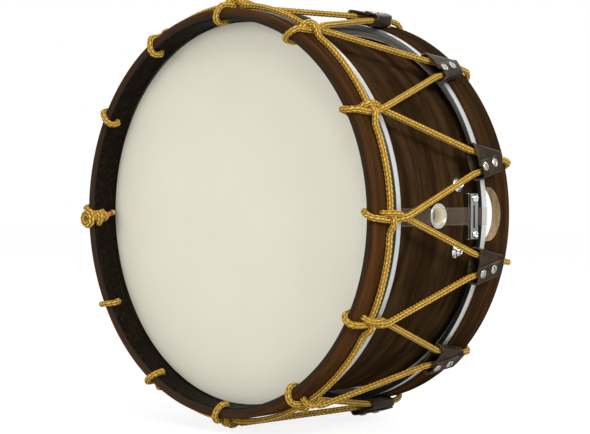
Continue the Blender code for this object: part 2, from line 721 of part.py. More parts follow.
def makeSnares():
    # Two end plates with the strands stretched between them, just under the rear head
    across = (snareStrands - 1) * snareSpacing / 2
    plateIn = snareHalfLength
    plateOut = snareHalfLength + 12 * mm
    pieces = []
    for side in (-1, 1):
        ends = sorted((side * plateIn, side * plateOut))
        low = (ends[0], -across - 3 * mm, -snareDepth - 2.4 * mm)
        high = (ends[1], across + 3 * mm, -snareDepth - 0.8 * mm)
        pieces.append(boxMesh("end_plate", low, high))
    snares = addPart("snare_wires", pieces[0], snareWire)
    combine(snares, addCutter("end_plate", pieces[1]), "UNION")
    strands = []
    for number in range(snareStrands):
        offset = -across + number * snareSpacing
        strand = cylinderMesh("strand", snareRadius, -plateIn - 1 * mm, plateIn + 1 * mm, 6)
        strands.append((strand, Matrix.Translation((0, offset, -snareDepth - 1.6 * mm))))
    combine(snares, addCutter("strands", joinedMesh("strands", strands)), "UNION")


makeShell()
makeHeads()
makeFleshHoop("batter_flesh_hoop", batterHoopDepth + gap)
makeFleshHoop("snare_flesh_hoop", snareHoopTop - gap - fleshWidth)
makeCounterhoop("batter_counterhoop", 0, batterHoopDepth, batterHoleDepth,
                batterHoleTurn + weaveOffset / hoopOuter)
makeCounterhoop("snare_counterhoop", snareHoopTop, snareHoopDepth, snareHoleDepth,
                math.radians(15) + snareHoleOffset / hoopOuter)
makeRopes()
makeKnot()
makeTugs()
makeVent()
makeButt()
makeStrainer()
makeSnares()
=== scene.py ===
# Looks of the rope-tensioned field drum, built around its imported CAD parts.
import math

import bpy
import numpy as np
from mathutils import Matrix, Vector


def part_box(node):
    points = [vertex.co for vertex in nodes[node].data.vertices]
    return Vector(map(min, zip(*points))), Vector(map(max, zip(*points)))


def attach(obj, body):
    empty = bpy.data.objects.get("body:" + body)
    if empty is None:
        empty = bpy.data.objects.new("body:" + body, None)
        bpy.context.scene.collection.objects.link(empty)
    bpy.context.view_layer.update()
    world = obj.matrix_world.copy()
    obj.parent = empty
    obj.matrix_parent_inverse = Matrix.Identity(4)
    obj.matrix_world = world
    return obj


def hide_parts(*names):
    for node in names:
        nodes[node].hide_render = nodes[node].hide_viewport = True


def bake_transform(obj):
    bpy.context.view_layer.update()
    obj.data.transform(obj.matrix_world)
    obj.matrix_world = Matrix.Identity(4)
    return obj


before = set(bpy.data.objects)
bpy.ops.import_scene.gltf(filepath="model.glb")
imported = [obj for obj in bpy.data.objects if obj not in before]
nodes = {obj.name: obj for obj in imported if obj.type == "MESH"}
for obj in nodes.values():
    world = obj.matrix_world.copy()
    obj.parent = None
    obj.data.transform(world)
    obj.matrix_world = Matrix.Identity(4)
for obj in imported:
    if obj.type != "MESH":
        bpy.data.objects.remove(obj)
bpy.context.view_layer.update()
print("frame loaded")

mm = 0.001
fullTurn = 2 * math.pi

# Sizes that the frame gives
hoopLow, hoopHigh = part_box("batter_counterhoop")
shellLow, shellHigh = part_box("shell")
snareLow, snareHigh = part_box("snare_counterhoop")
axisHeight = (hoopLow.z + hoopHigh.z) / 2
hoopRadius = (hoopHigh.z - hoopLow.z) / 2
edgeY = hoopLow.y                                  # front edge of the batter hoop, depth 0
shellRadius = (shellHigh.z - shellLow.z) / 2
overall = snareHigh.y - edgeY
snareTop = snareLow.y - edgeY
batterDepth = hoopHigh.y - edgeY

lacing = {
    "count": 12,
    "batterTurn": math.radians(-0.8),              # turn of all junctions from the even division
    "tugTurn": math.radians(15),                   # turn of the first tug
    "radius": 3.4 * mm,
    "runningDepth": 20.3 * mm,
    "holeDepth": 12 * mm,
    "rearHoleDepth": 204 * mm,
    # The lacing was pulled in by hand: how far junctions and tugs stand off the even division, and how many
    # millimetres the loops over the hoop's edge lean along it
    "drift": np.radians([0.8, -0.6, 0, 0, 0, 0, 0, 0, 0, 0, 0.8, 2.6]),
    "tugDrift": np.radians([-0.8, -1.2, -1.2, 0, 0, 0, 0, 0, 0, 1.3, 1.4, 1.2]),
    "lean": np.array([0, 3.5, 2, 0, 0, 0, 0, 0, 0, 0, -3, -7]),
}


def junctionTurn(number):
    number = number % lacing["count"]
    return number * fullTurn / lacing["count"] + lacing["batterTurn"] + lacing["drift"][number]


def tugAngle(number):
    # A tug sits half way between two junctions, give or take
    return lacing["tugTurn"] + number * fullTurn / lacing["count"] + lacing["tugDrift"][number]


def sideFrame(turn):
    # Outward and round the drum at a turn about its axis
    outward = np.array([math.cos(turn), 0, math.sin(turn)])
    return outward, np.array([-math.sin(turn), 0, math.cos(turn)])


def drumPoints(theta, radius, depth):
    # Points by angle about the drum's axis, radius, and depth behind the batter hoop's edge
    theta, radius, depth = np.broadcast_arrays(theta, radius, depth)
    return np.stack([radius * np.cos(theta), edgeY + depth, axisHeight + radius * np.sin(theta)], axis=-1)


def hoopPoints(turn, along, height, depth):
    # Points beside the hoop: distance along its outer face, and height above it
    along = np.asarray(along, float)
    return drumPoints(turn + along / hoopRadius, hoopRadius + np.asarray(height, float), depth)


def hoopStops(turn, stops):
    # The same from rows of millimetres
    return hoopPoints(turn, *(np.asarray(stops, float) * mm).T)


def gridFaces(rows, columns, closeRows, closeColumns):
    # Quads of a grid, by index, wrapped round where a direction is closed
    down = np.arange(rows if closeRows else rows - 1)
    across = np.arange(columns if closeColumns else columns - 1)
    at, beside = np.meshgrid(down, across, indexing="ij")
    below = (at + 1) % rows
    right = (beside + 1) % columns
    quads = np.stack([at * columns + beside, below * columns + beside, below * columns + right,
                      at * columns + right], axis=-1)
    return quads.reshape(-1, 4)


def addMesh(name, points, *faceSets, smooth=True):
    # One mesh object at the origin from an array of points and arrays of faces, each with faces of one size
    mesh = bpy.data.meshes.new(name)
    sizes = np.concatenate([np.full(len(faces), faces.shape[1]) for faces in faceSets])
    corners = np.concatenate([faces.ravel() for faces in faceSets])
    mesh.vertices.add(len(points))
    mesh.vertices.foreach_set("co", np.ascontiguousarray(points, dtype=np.float32).ravel())
    mesh.loops.add(len(corners))
    mesh.loops.foreach_set("vertex_index", corners.astype(np.int32))
    mesh.polygons.add(len(sizes))
    mesh.polygons.foreach_set("loop_start", (np.cumsum(sizes) - sizes).astype(np.int32))
    mesh.update(calc_edges=True)
    mesh.validate()
    if smooth:
        mesh.shade_smooth()
    item = bpy.data.objects.new(name, mesh)
    bpy.context.scene.collection.objects.link(item)
    return item


def enclosedVolume(points, faceSets):
    # Sum over the faces' triangles of a . (b x c) / 6, which is above zero where they point outwards
    total = 0.0
    for faces in faceSets:
        for k in range(1, faces.shape[1] - 1):
            first, second, third = (points[faces[:, at]] for at in (0, k, k + 1))
            total += (first * np.cross(second, third)).sum() / 6
    return total


def addGrid(name, points, closeRows=False, closeColumns=False, capRows=False):
    # A surface from a grid of points (rows, columns, 3). Row ends are closed by a centre point if asked, and
    # a closed surface is turned to point outwards
    rows, columns = points.shape[:2]
    flat = points.reshape(-1, 3)
    faceSets = [gridFaces(rows, columns, closeRows, closeColumns)]
    if capRows:
        flat = np.concatenate([flat, [points[0].mean(0), points[-1].mean(0)]])
        step = np.arange(columns)
        after = (step + 1) % columns
        last = (rows - 1) * columns
        first = np.stack([np.full(columns, rows * columns), step, after], axis=-1)
        second = np.stack([np.full(columns, rows * columns + 1), last + after, last + step], axis=-1)
        faceSets.append(np.concatenate([first, second]))
    closed = closeColumns and (closeRows or capRows)
    if closed and enclosedVolume(flat - flat.mean(0), faceSets) < 0:
        faceSets = [faces[:, ::-1] for faces in faceSets]
    return addMesh(name, flat, *faceSets)

def setFloats(item, **fields):
    # Values at the mesh's points, for the materials to read
    for name, values in fields.items():
        full = np.zeros(len(item.data.vertices), np.float32)
        full[:values.size] = np.asarray(values, np.float32).ravel()
        item.data.attributes.new(name, "FLOAT", "POINT").data.foreach_set("value", full)


def sharpen(item, angle=35):
    item.data.set_sharp_from_angle(angle=math.radians(angle))


def bakeModifiers(item):
    # The evaluated mesh takes the modifiers' place
    graph = bpy.context.evaluated_depsgraph_get()
    mesh = bpy.data.meshes.new_from_object(item.evaluated_get(graph))
    item.modifiers.clear()
    item.data = mesh
    return item


def roundCorners(corners, reach, steps=4, closed=True):
    # Each corner becomes a quadratic curve from reach before it to reach after it, or from the sides' middles
    corners = np.asarray(corners, float)
    before = np.roll(corners, 1, axis=0)
    after = np.roll(corners, -1, axis=0)
    if not closed:
        before[0] = corners[0]
        after[-1] = corners[-1]
    reach = np.broadcast_to(np.asarray(reach, float), len(corners))[:, None]

    def toward(other):
        gap = other - corners
        length = np.linalg.norm(gap, axis=1, keepdims=True)
        return corners + gap * np.minimum(reach / np.maximum(length, 1e-9), 0.5)

    start = toward(before)[:, None]
    end = toward(after)[:, None]
    t = np.linspace(0, 1, steps + 1)[None, :, None]
    middle = corners[:, None]
    curve = start * (1 - t) ** 2 + middle * 2 * t * (1 - t) + end * t ** 2
    curve = curve.reshape(-1, corners.shape[1])
    keep = np.ones(len(curve), bool)
    keep[1:] = np.linalg.norm(np.diff(curve, axis=0), axis=1) > 1e-7
    return curve[keep]


def resample(route, spacing):
    # Points at an even spacing along a route
    length = np.concatenate([[0], np.cumsum(np.linalg.norm(np.diff(route, axis=0), axis=1))])
    count = max(int(round(length[-1] / spacing)), 4)
    at = np.linspace(0, length[-1], count + 1)
    return np.stack([np.interp(at, length, route[:, axis]) for axis in range(route.shape[1])], axis=-1), at


def openRoute(points, reach=5):
    return roundCorners(points, reach * mm, 8, closed=False)


def unit(vectors):
    return vectors / np.linalg.norm(vectors, axis=-1, keepdims=True)


def turnedSurface(name, profile, segments=288):
    # A closed (radius, depth) profile carried round the drum's axis
    theta = np.linspace(0, fullTurn, segments, endpoint=False)[:, None]
    return addGrid(name, drumPoints(theta, profile[None, :, 0], profile[None, :, 1]), closeRows=True,
                   closeColumns=True)


def turnedRing(name, outer, wall, front, back, rounding, steps=4, segments=288):
    # A plain ring about the drum's axis, with rounded edges
    inner = outer - wall
    corners = [(outer, front), (outer, back), (inner, back), (inner, front)]
    return turnedSurface(name, roundCorners(corners, rounding, steps), segments)


def localTurned(name, profile, origin, outward, segments, ring=False):
    # A small (radius, height) profile turned about a line through origin: a ring where the profile is closed
    outward = unit(outward)
    side = np.cross(outward, [0.0, 1.0, 0.0])
    if np.linalg.norm(side) < 0.1:
        side = np.cross(outward, [0.0, 0.0, 1.0])
    side = unit(side)
    across = np.cross(outward, side)
    theta = np.linspace(0, fullTurn, segments, endpoint=False)[None, :, None]
    radius, height = profile.T[:, :, None, None]
    points = origin + outward * height + (side * np.cos(theta) + across * np.sin(theta)) * radius
    return addGrid(name, points, closeRows=ring, closeColumns=True, capRows=not ring)


# Node helpers

def plug(tree, socket, value):
    # A socket takes a link from another socket, or else a colour or a number
    if isinstance(value, bpy.types.NodeSocket):
        tree.links.new(value, socket)
    elif socket.type == "RGBA" and len(value) == 3:
        socket.default_value = (*value, 1)
    elif value is not None:
        socket.default_value = value


def feed(tree, node, **values):
    # A node's settings go by their own names and its inputs by their titles, with _ for a space
    for key, value in values.items():
        if hasattr(node, key):
            setattr(node, key, value)
        else:
            plug(tree, node.inputs[key.replace("_", " ")], value)
    return node


def addNode(tree, kind, *inputs, **values):
    # Inputs that share a title are given in order
    node = feed(tree, tree.nodes.new("ShaderNode" + kind), **values)
    for socket, value in zip(node.inputs, inputs):
        plug(tree, socket, value)
    return node


def newMaterial(name, colour=(0.5, 0.5, 0.5), roughness=0.5, metallic=0.0):
    made = bpy.data.materials.new(name)
    made.use_nodes = True
    tree = made.node_tree
    shader = tree.nodes["Principled BSDF"]
    feed(tree, shader, Base_Color=colour, Roughness=roughness, Metallic=metallic)
    return made, tree, shader


def mathNode(tree, operation, first, second=None, clamp=False):
    return addNode(tree, "Math", first, second, operation=operation, use_clamp=clamp).outputs[0]


def plus(tree, first, second):
    return mathNode(tree, "ADD", first, second)


def minus(tree, first, second):
    return mathNode(tree, "SUBTRACT", first, second)


def times(tree, first, second):
    return mathNode(tree, "MULTIPLY", first, second)


def mixColour(tree, share, first, second):
    # The colour sockets of the node are its seventh and eighth
    node = addNode(tree, "Mix", share, data_type="RGBA")
    plug(tree, node.inputs[6], first)
    plug(tree, node.inputs[7], second)
    return node.outputs[2]


def mixShader(tree, share, first, second):
    return addNode(tree, "MixShader", share, first, second).outputs[0]


def ramp(tree, value, low, high):
    # 0 up to low and 1 from high on
    return addNode(tree, "MapRange", interpolation_type="SMOOTHSTEP", Value=value, From_Min=low,
                   From_Max=high).outputs["Result"]


def fall(tree, value, low, high):
    # 1 up to low and 0 from high on
    return minus(tree, 1.0, ramp(tree, value, low, high))


def noise(tree, place, scale, detail=3.0, roughness=0.5, distortion=0.0):
    return addNode(tree, "TexNoise", Vector=place, Scale=scale, Detail=detail, Roughness=roughness,
                   Distortion=distortion).outputs["Fac"]


def bump(tree, height, strength, distance):
    return addNode(tree, "Bump", Strength=strength, Distance=distance, Height=height).outputs["Normal"]


def objectPlace(tree):
    return addNode(tree, "TexCoord").outputs["Object"]


def splitPlace(tree, place):
    return addNode(tree, "SeparateXYZ", place).outputs


def attribute(tree, name):
    return addNode(tree, "Attribute", attribute_name=name).outputs["Fac"]


def newGroup(name, outputs, title):
    # A group with one input
    group = bpy.data.node_groups.new(name, "ShaderNodeTree")
    group.interface.new_socket(name=title, in_out="INPUT", socket_type="NodeSocketFloat")
    for out in outputs:
        group.interface.new_socket(name=out, in_out="OUTPUT", socket_type="NodeSocketFloat")
    entry = group.nodes.new("NodeGroupInput").outputs[title]
    return group, entry, group.nodes.new("NodeGroupOutput")


def useGroup(tree, group, **values):
    return addNode(tree, "Group", node_tree=group, **values).outputs


def buildGrainGroup():
    # Wood grain that runs round the drum: slow along the hoops and quick across them. Dash marks are short
    # ticks along the grain, and Depth and Radius place wear and shade on the piece
    titles = ("Streak", "Pore", "Blotch", "Dash", "Depth", "Radius")
    group, fineness, leave = newGroup("grainAlongHoop", titles, "Fineness")
    place = objectPlace(group)
    x, y, z = splitPlace(group, place)
    up = minus(group, z, axisHeight)
    radius = mathNode(group, "SQRT", plus(group, times(group, x, x), times(group, up, up)))
    slow = 7.0
    quick = times(group, plus(group, y, radius), times(group, fineness, 90.0))
    along = addNode(group, "CombineXYZ", times(group, x, slow), times(group, up, slow), quick).outputs[0]

    def stretched(*factors):
        return addNode(group, "VectorMath", along, factors, operation="MULTIPLY").outputs[0]

    streak = noise(group, along, 1.0, 5.0, 0.6, 0.4)
    pore = noise(group, stretched(7.0, 7.0, 9.0), 1.0, 2.0)
    dash = noise(group, stretched(26.0, 26.0, 6.0), 1.0, 1.0, 0.4)
    blotch = noise(group, place, 9.0, 2.0)
    feed(group, leave, Streak=ramp(group, streak, 0.34, 0.72), Pore=pore,
         Blotch=ramp(group, blotch, 0.35, 0.68), Dash=ramp(group, dash, 0.5, 0.66),
         Depth=minus(group, y, edgeY), Radius=radius)
    return group


def buildSpeckGroup():
    # Fine grain of a sprayed or worn surface
    group, size, leave = newGroup("fineSpeck", ("Speck", "Cloud"), "Size")
    place = objectPlace(group)
    fine = noise(group, place, times(group, size, 1500.0), 2.0)
    feed(group, leave, Speck=fine, Cloud=noise(group, place, 14.0))
    return group


grainGroup = buildGrainGroup()
speckGroup = buildSpeckGroup()

walnutLook = {
    "shell": {"dark": (0.020, 0.0105, 0.0040), "brown": (0.060, 0.033, 0.0145), "red": (0.080, 0.034, 0.0105),
              "fineness": 0.5, "redShare": 0.5, "specular": 0.0, "rough": 0.5, "coat": 0.005},
    "batter": {"dark": (0.034, 0.0145, 0.0045), "brown": (0.078, 0.035, 0.0125), "red": (0.105, 0.036, 0.008),
               "fineness": 1.0, "redShare": 0.7, "specular": 0.01, "rough": 0.42, "coat": 0.01},
    "rear": {"dark": (0.021, 0.0105, 0.0042), "brown": (0.056, 0.0285, 0.0115), "red": (0.072, 0.028, 0.0075),
             "fineness": 0.8, "redShare": 0.5, "specular": 0.0, "rough": 0.45, "coat": 0.005},
    "pore": (0.010, 0.005, 0.0022),
    "inside": (0.0072, 0.0050, 0.0031),
    "insideDash": (0.0155, 0.0112, 0.0075),
    "insideEdge": (208.5 * mm, 210.5 * mm),        # radii between which a hoop's inner look gives way
    "wear": (0.30, 0.085, 0.014),
    # Painted sheen: a grey tone on the batter hoop's front face that stands in for a reflection, and the
    # radii where it gives way
    "paintedFrontSheen": (0.032, 0.024, 0.018),
    "frontSheenEdge": (212.5 * mm, 216.0 * mm),
}


def makeWalnut(name, look, wearDepth=0.0):
    # Stained walnut: streaks from dark to brown, red in blotches, black pores, ticks on the hoops' inner
    # faces, the stain worn through to orange along one edge, and painted grey sheen on the batter hoop's
    # front
    made, tree, shader = newMaterial(name)
    grain = useGroup(tree, grainGroup, Fineness=look["fineness"])
    colour = mixColour(tree, grain["Streak"], look["dark"], look["brown"])
    reds = times(tree, times(tree, grain["Blotch"], look["redShare"]), grain["Streak"])
    colour = mixColour(tree, reds, colour, look["red"])
    pores = times(tree, fall(tree, grain["Pore"], 0.3, 0.55), 0.35)
    colour = mixColour(tree, pores, colour, walnutLook["pore"])
    if wearDepth:
        near = mathNode(tree, "ABSOLUTE", minus(tree, grain["Depth"], wearDepth))
        patch = noise(tree, objectPlace(tree), 22.0, 3.0, 0.6)
        worn = times(tree, fall(tree, near, 0.6 * mm, 3.2 * mm), ramp(tree, patch, 0.57, 0.76))
        colour = mixColour(tree, worn, colour, walnutLook["wear"])
    if look is walnutLook["batter"]:
        # Painted sheen: the batter hoop's front face is greyed as a reflection would show it
        front = times(tree, fall(tree, grain["Radius"], *walnutLook["frontSheenEdge"]), 0.85)
        colour = mixColour(tree, front, colour, walnutLook["paintedFrontSheen"])
    if look is not walnutLook["shell"]:
        ticks = mixColour(tree, grain["Dash"], walnutLook["inside"], walnutLook["insideDash"])
        colour = mixColour(tree, fall(tree, grain["Radius"], *walnutLook["insideEdge"]), colour, ticks)
    rough = plus(tree, times(tree, grain["Streak"], 0.14), look["rough"] - 0.05)
    feed(tree, shader, Base_Color=colour, Roughness=rough, Specular_IOR_Level=look["specular"],
         Coat_Weight=look["coat"], Coat_Roughness=0.3, Normal=bump(tree, grain["Pore"], 0.2, 0.0003))
    return made


def makeRawWood():
    # Cut ply: pale tan with fine grain
    made, tree, shader = newMaterial("cutPlyEdge", roughness=0.7)
    grain = useGroup(tree, grainGroup, Fineness=2.2)
    speck = useGroup(tree, speckGroup, Size=0.3)
    colour = mixColour(tree, grain["Streak"], (0.40, 0.26, 0.135), (0.66, 0.47, 0.27))
    patches = times(tree, ramp(tree, speck["Speck"], 0.45, 0.7), 0.5)
    colour = mixColour(tree, patches, colour, (0.21, 0.125, 0.06))
    feed(tree, shader, Base_Color=colour, Normal=bump(tree, grain["Pore"], 0.5, 0.0005))
    return made


rimLook = {
    "metallic": 0.45,
    # Painted shade on the rims' front: near black low down, lighter higher up as light from above would leave
    # it
    "low": (0.020, 0.020, 0.018),
    "high": (0.20, 0.20, 0.185),
    "fade": (0.03, 0.2),                           # metres over the axis between which the painted shade lightens upwards
}


def makeMetal(name, colour, roughness, unshadedFrom=None, unshadedRun=None):
    # Clouded metal. A rim is brushed and duller, and painted with shade up to a depth along the drum, less at
    # the top
    rim = unshadedFrom is not None
    metallic = rimLook["metallic"] if rim else 1.0
    made, tree, shader = newMaterial(name, colour, roughness, metallic)
    cloud = useGroup(tree, speckGroup, Size=0.25)["Cloud"]
    change = times(tree, minus(tree, cloud, 0.5), 0.25)
    base = mixColour(tree, cloud, tuple(part * 0.86 for part in colour), colour)
    if rim:
        grain = useGroup(tree, grainGroup, Fineness=6.0)
        up = splitPlace(tree, objectPlace(tree))["Z"]
        start, end = rimLook["fade"]
        above = ramp(tree, up, axisHeight + start, axisHeight + end)
        # Painted shade on the rim's front, lighter towards the top, giving way to plain metal behind it
        paintedShade = mixColour(tree, above, rimLook["low"], rimLook["high"])
        unshaded = ramp(tree, grain["Depth"], unshadedFrom, unshadedFrom + unshadedRun)
        base = mixColour(tree, unshaded, paintedShade, base)
        feed(tree, shader, Metallic=times(tree, unshaded, metallic), Specular_IOR_Level=0.15,
             Normal=bump(tree, grain["Streak"], 0.1, 0.0002))
    feed(tree, shader, Base_Color=base, Roughness=mathNode(tree, "ADD", change, roughness, clamp=True))
    return made


def makeHeadFilm():
    # Sprayed coating: a warm white with faint clouds, a touch of painted shade towards the edge, and painted
    # shade in the groove under the hoop
    made, tree, shader = newMaterial("coatedFilm", roughness=0.6)
    speck = useGroup(tree, speckGroup, Size=1.0)
    radius = useGroup(tree, grainGroup)["Radius"]
    colour = mixColour(tree, speck["Cloud"], (0.745, 0.720, 0.597), (0.785, 0.765, 0.643))
    # Painted shade: a little darker towards the film's edge
    rim = times(tree, ramp(tree, radius, 0.170, 0.2035), 0.06)
    colour = mixColour(tree, rim, colour, (0.70, 0.655, 0.545))
    # Painted shade: near black in the groove under the hoop
    colour = mixColour(tree, ramp(tree, radius, 0.2069, 0.2075), colour, (0.02, 0.015, 0.01))
    feed(tree, shader, Base_Color=colour, Specular_IOR_Level=0.15,
         Normal=bump(tree, speck["Speck"], 0.12, 0.0002))
    return made


def makeThinFilm():
    made, tree, shader = newMaterial("hazyFilm", (0.72, 0.68, 0.58), 0.3)
    speck = useGroup(tree, speckGroup, Size=0.1)
    colour = mixColour(tree, speck["Cloud"], (0.70, 0.66, 0.56), (0.78, 0.74, 0.64))
    feed(tree, shader, Base_Color=colour, Alpha=0.62)
    return made


ropeLook = {
    # Painted shade for the grooves and painted highlight for the crests
    "grooveShade": (0.085, 0.040, 0.003),
    "yarn": (0.50, 0.285, 0.030),
    "crestHighlight": (0.80, 0.54, 0.115),
    "worn": (0.56, 0.27, 0.055),
}


def makeRopeMaterial():
    # Braided cotton: painted shade in the grooves, golden yarns, painted highlights on the crests that differ
    # from stitch to stitch, and fibres
    made, tree, shader = newMaterial("braidedRope", roughness=0.6)
    relief = attribute(tree, "relief")
    place = objectPlace(tree)
    # Painted shade in the braid's grooves and painted highlights on its crests, both set by the relief
    colour = mixColour(tree, ramp(tree, relief, 0.08, 0.7), ropeLook["grooveShade"], ropeLook["yarn"])
    crestHighlight = times(tree, ramp(tree, relief, 0.62, 1.0), ramp(tree, attribute(tree, "stitch"), -0.2, 0.9))
    colour = mixColour(tree, crestHighlight, colour, ropeLook["crestHighlight"])
    worn = times(tree, ramp(tree, noise(tree, place, 45.0), 0.52, 0.75), 0.4)
    colour = mixColour(tree, worn, colour, ropeLook["worn"])
    ridges = mathNode(tree, "SINE", times(tree, attribute(tree, "fibre"), 26.0))
    height = plus(tree, times(tree, ridges, 0.5), noise(tree, place, 1400.0, 2.0))
    feed(tree, shader, Base_Color=colour, Sheen_Weight=0.03, Specular_IOR_Level=0.15,
         Normal=bump(tree, height, 0.4, 0.0003))
    return made


def makeLeather():
    # Oiled leather: pebbled grain, brown clouds, and paler where the strip's cut edge is rubbed
    made, tree, shader = newMaterial("oiledLeather")
    place = objectPlace(tree)
    cells = addNode(tree, "TexVoronoi", Vector=place, Scale=900.0)
    cloud = noise(tree, place, 90.0, 4.0)
    colour = mixColour(tree, ramp(tree, cloud, 0.35, 0.7), (0.017, 0.0108, 0.0048), (0.040, 0.0262, 0.0122))
    worn = times(tree, ramp(tree, attribute(tree, "rim"), 0.3, 1.0), ramp(tree, cloud, 0.3, 0.6))
    colour = mixColour(tree, times(tree, worn, 0.7), colour, (0.115, 0.078, 0.045))
    feed(tree, shader, Base_Color=colour, Roughness=plus(tree, times(tree, cloud, 0.25), 0.36),
         Specular_IOR_Level=0.10, Normal=bump(tree, cells.outputs["Distance"], 0.35, 0.0004))
    return made


def makeClearPlastic():
    # Clear film, clouded a little, whose cut edges show as pale lines
    made, tree, shader = newMaterial("clearStrap", (0.42, 0.35, 0.27), 0.16)
    cloud = useGroup(tree, speckGroup, Size=0.3)["Cloud"]
    edge = ramp(tree, attribute(tree, "rim"), 0.4, 1.0)
    feed(tree, shader, Roughness=ramp(tree, cloud, -0.2, 3.0), Specular_IOR_Level=0.16,
         Alpha=plus(tree, times(tree, edge, 0.25), 0.075))
    return made


def makeRivetMetal():
    # Nickel with painted shade in the trough along the slot
    made, tree, shader = newMaterial("rivetSilver", (0.80, 0.79, 0.74), 0.3, 1.0)
    cloud = useGroup(tree, speckGroup, Size=0.4)["Cloud"]
    plain = mixColour(tree, cloud, (0.40, 0.39, 0.35), (0.58, 0.57, 0.53))
    # Painted shade: near black in the slot's trough
    dark = mixColour(tree, ramp(tree, attribute(tree, "slot"), 0.1, 0.5), plain, (0.015, 0.013, 0.010))
    feed(tree, shader, Base_Color=dark, Roughness=ramp(tree, cloud, -0.4, 2.4))
    return made


def makeThread(name, colour):
    made, tree, shader = newMaterial(name, colour, 0.6)
    hair = noise(tree, objectPlace(tree), 900.0, 2.0)
    feed(tree, shader, Base_Color=mixColour(tree, hair, tuple(part * 0.45 for part in colour), colour),
         Normal=bump(tree, hair, 0.4, 0.0003))
    return made


def makeCreamLacquer():
    # Pale lacquer in the vent's bore with a painted glow, emission that stands in for the light through the
    # heads
    made, tree, shader = newMaterial("glowingCreamLacquer")
    cloud = useGroup(tree, speckGroup, Size=0.3)["Cloud"]
    colour = mixColour(tree, cloud, (0.50, 0.43, 0.31), (0.66, 0.60, 0.47))
    # Painted light: the lacquer glows as if lit through the heads
    feed(tree, shader, Base_Color=colour, Emission_Color=colour, Emission_Strength=0.45)
    return made


shellWood = makeWalnut("walnutShell", walnutLook["shell"])
hoopWood = makeWalnut("walnutHoop", walnutLook["batter"])
rearWood = makeWalnut("walnutRearHoop", walnutLook["rear"], wearDepth=snareTop + 1.5 * mm)
cutWood = makeRawWood()
headFilm = makeHeadFilm()
thinFilm = makeThinFilm()
ropeMaterial = makeRopeMaterial()
leatherMaterial = makeLeather()
strapMaterial = makeClearPlastic()
chrome = makeMetal("brightChrome", (0.78, 0.78, 0.79), 0.1)
agedChrome = makeMetal("agedChrome", (0.36, 0.355, 0.34), 0.2)
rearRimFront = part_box("snare_flesh_hoop")[0].y - edgeY
rimMetal = {
    "batter": makeMetal("batterRim", (0.60, 0.62, 0.62), 0.36, batterDepth + 5.2 * mm, 0.8 * mm),
    "snare": makeMetal("snareRim", (0.62, 0.63, 0.60), 0.36, rearRimFront + 0.3 * mm, 0.7 * mm),
}
nickel = makeMetal("wornNickel", (0.74, 0.72, 0.66), 0.26)
steel = makeMetal("plainSteel", (0.5, 0.5, 0.5), 0.35)
rivetMetal = makeRivetMetal()
glowingCreamLacquer = makeCreamLacquer()
redThread = makeThread("redWhipping", (0.55, 0.045, 0.035))
yellowTip = makeThread("yellowTip", (0.75, 0.45, 0.015))
print("materials made")


def finishPiece(item, material, body, slot, *replaced):
    # Material, body, the record's slot (not used), and the CAD nodes that the piece stands for
    if material is not None:
        item.data.materials.clear()
        item.data.materials.append(material)
    if body:
        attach(item, body)
    if replaced:
        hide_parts(*replaced)
    return item


# Wooden shell and hoops

def cutHoles(item, cutters, cutMaterial=None):
    # Cutters are closed meshes joined into one object, taken out and removed again
    if cutMaterial is not None:
        cutters.data.materials.append(cutMaterial)
    step = item.modifiers.new("holes", "BOOLEAN")
    step.operation = "DIFFERENCE"
    step.solver = "EXACT"
    step.material_mode = "TRANSFER"
    step.object = cutters
    bakeModifiers(item)
    bpy.data.objects.remove(cutters, do_unlink=True)
    item.data.shade_smooth()
    sharpen(item, 38)
    return item


def joinItems(items):
    bpy.ops.object.select_all(action="DESELECT")
    for item in items:
        item.select_set(True)
    bpy.context.view_layer.objects.active = items[0]
    bpy.ops.object.join()
    return items[0]


def radialPlug(turn, depth, radius, squeeze=1.0, low=0.188, high=0.24, flare=1.0, segments=40):
    # A closed cylinder along the radius, used to cut a hole; flare widens its inner end
    outward, tangent = sideFrame(turn)
    centre = np.array([0, edgeY + depth, axisHeight])
    theta = np.linspace(0, fullTurn, segments, endpoint=False)[:, None]
    ring = tangent * radius * np.cos(theta) + np.array([0, 1, 0]) * radius * squeeze * np.sin(theta)
    points = np.stack([centre + outward * low + ring * flare, centre + outward * high + ring])
    return addGrid("plug", points, closeColumns=True, capRows=True)


sideSet = {
    # How far the fittings on the near side sit from the middle of the gate, along the shell
    "vent": -1.2 * mm,
    "clamp": -2.2 * mm,
    "strap": -1.9 * mm,
    "bolts": (-11.0, 8.8),                         # degrees
    # How far behind the batter hoop's edge
    "ventDepth": 121.6 * mm,
    "boltDepth": 157.5 * mm,
    "screwDepth": 170.2 * mm,
}

wood = {
    "shellWall": 8 * mm,
    "hoopWall": 12 * mm,
    "hoopRound": 5.4 * mm,
    "ventHole": 11.4 * mm,
    "ropeHole": 4.2 * mm,
    "holeAlong": 3.4 * mm,                         # round the batter hoop from the middle of a junction
    "rearHoleAlong": -4.2 * mm,                    # round the rear hoop from the middle of a tug
    "gateHalf": 28 * mm,
    "gateDepth": 19 * mm,
    "gateFlare": 1.13,                             # how much wider the gate is at the hoop's inner face
}


def ropePlugs(angle, aside, depth):
    # One for each strand: angle gives the turn of a junction or a tug, and aside is the way along the hoop
    return [radialPlug(angle(number) + aside / hoopRadius, depth, wood["ropeHole"], low=0.2)
            for number in range(lacing["count"])]


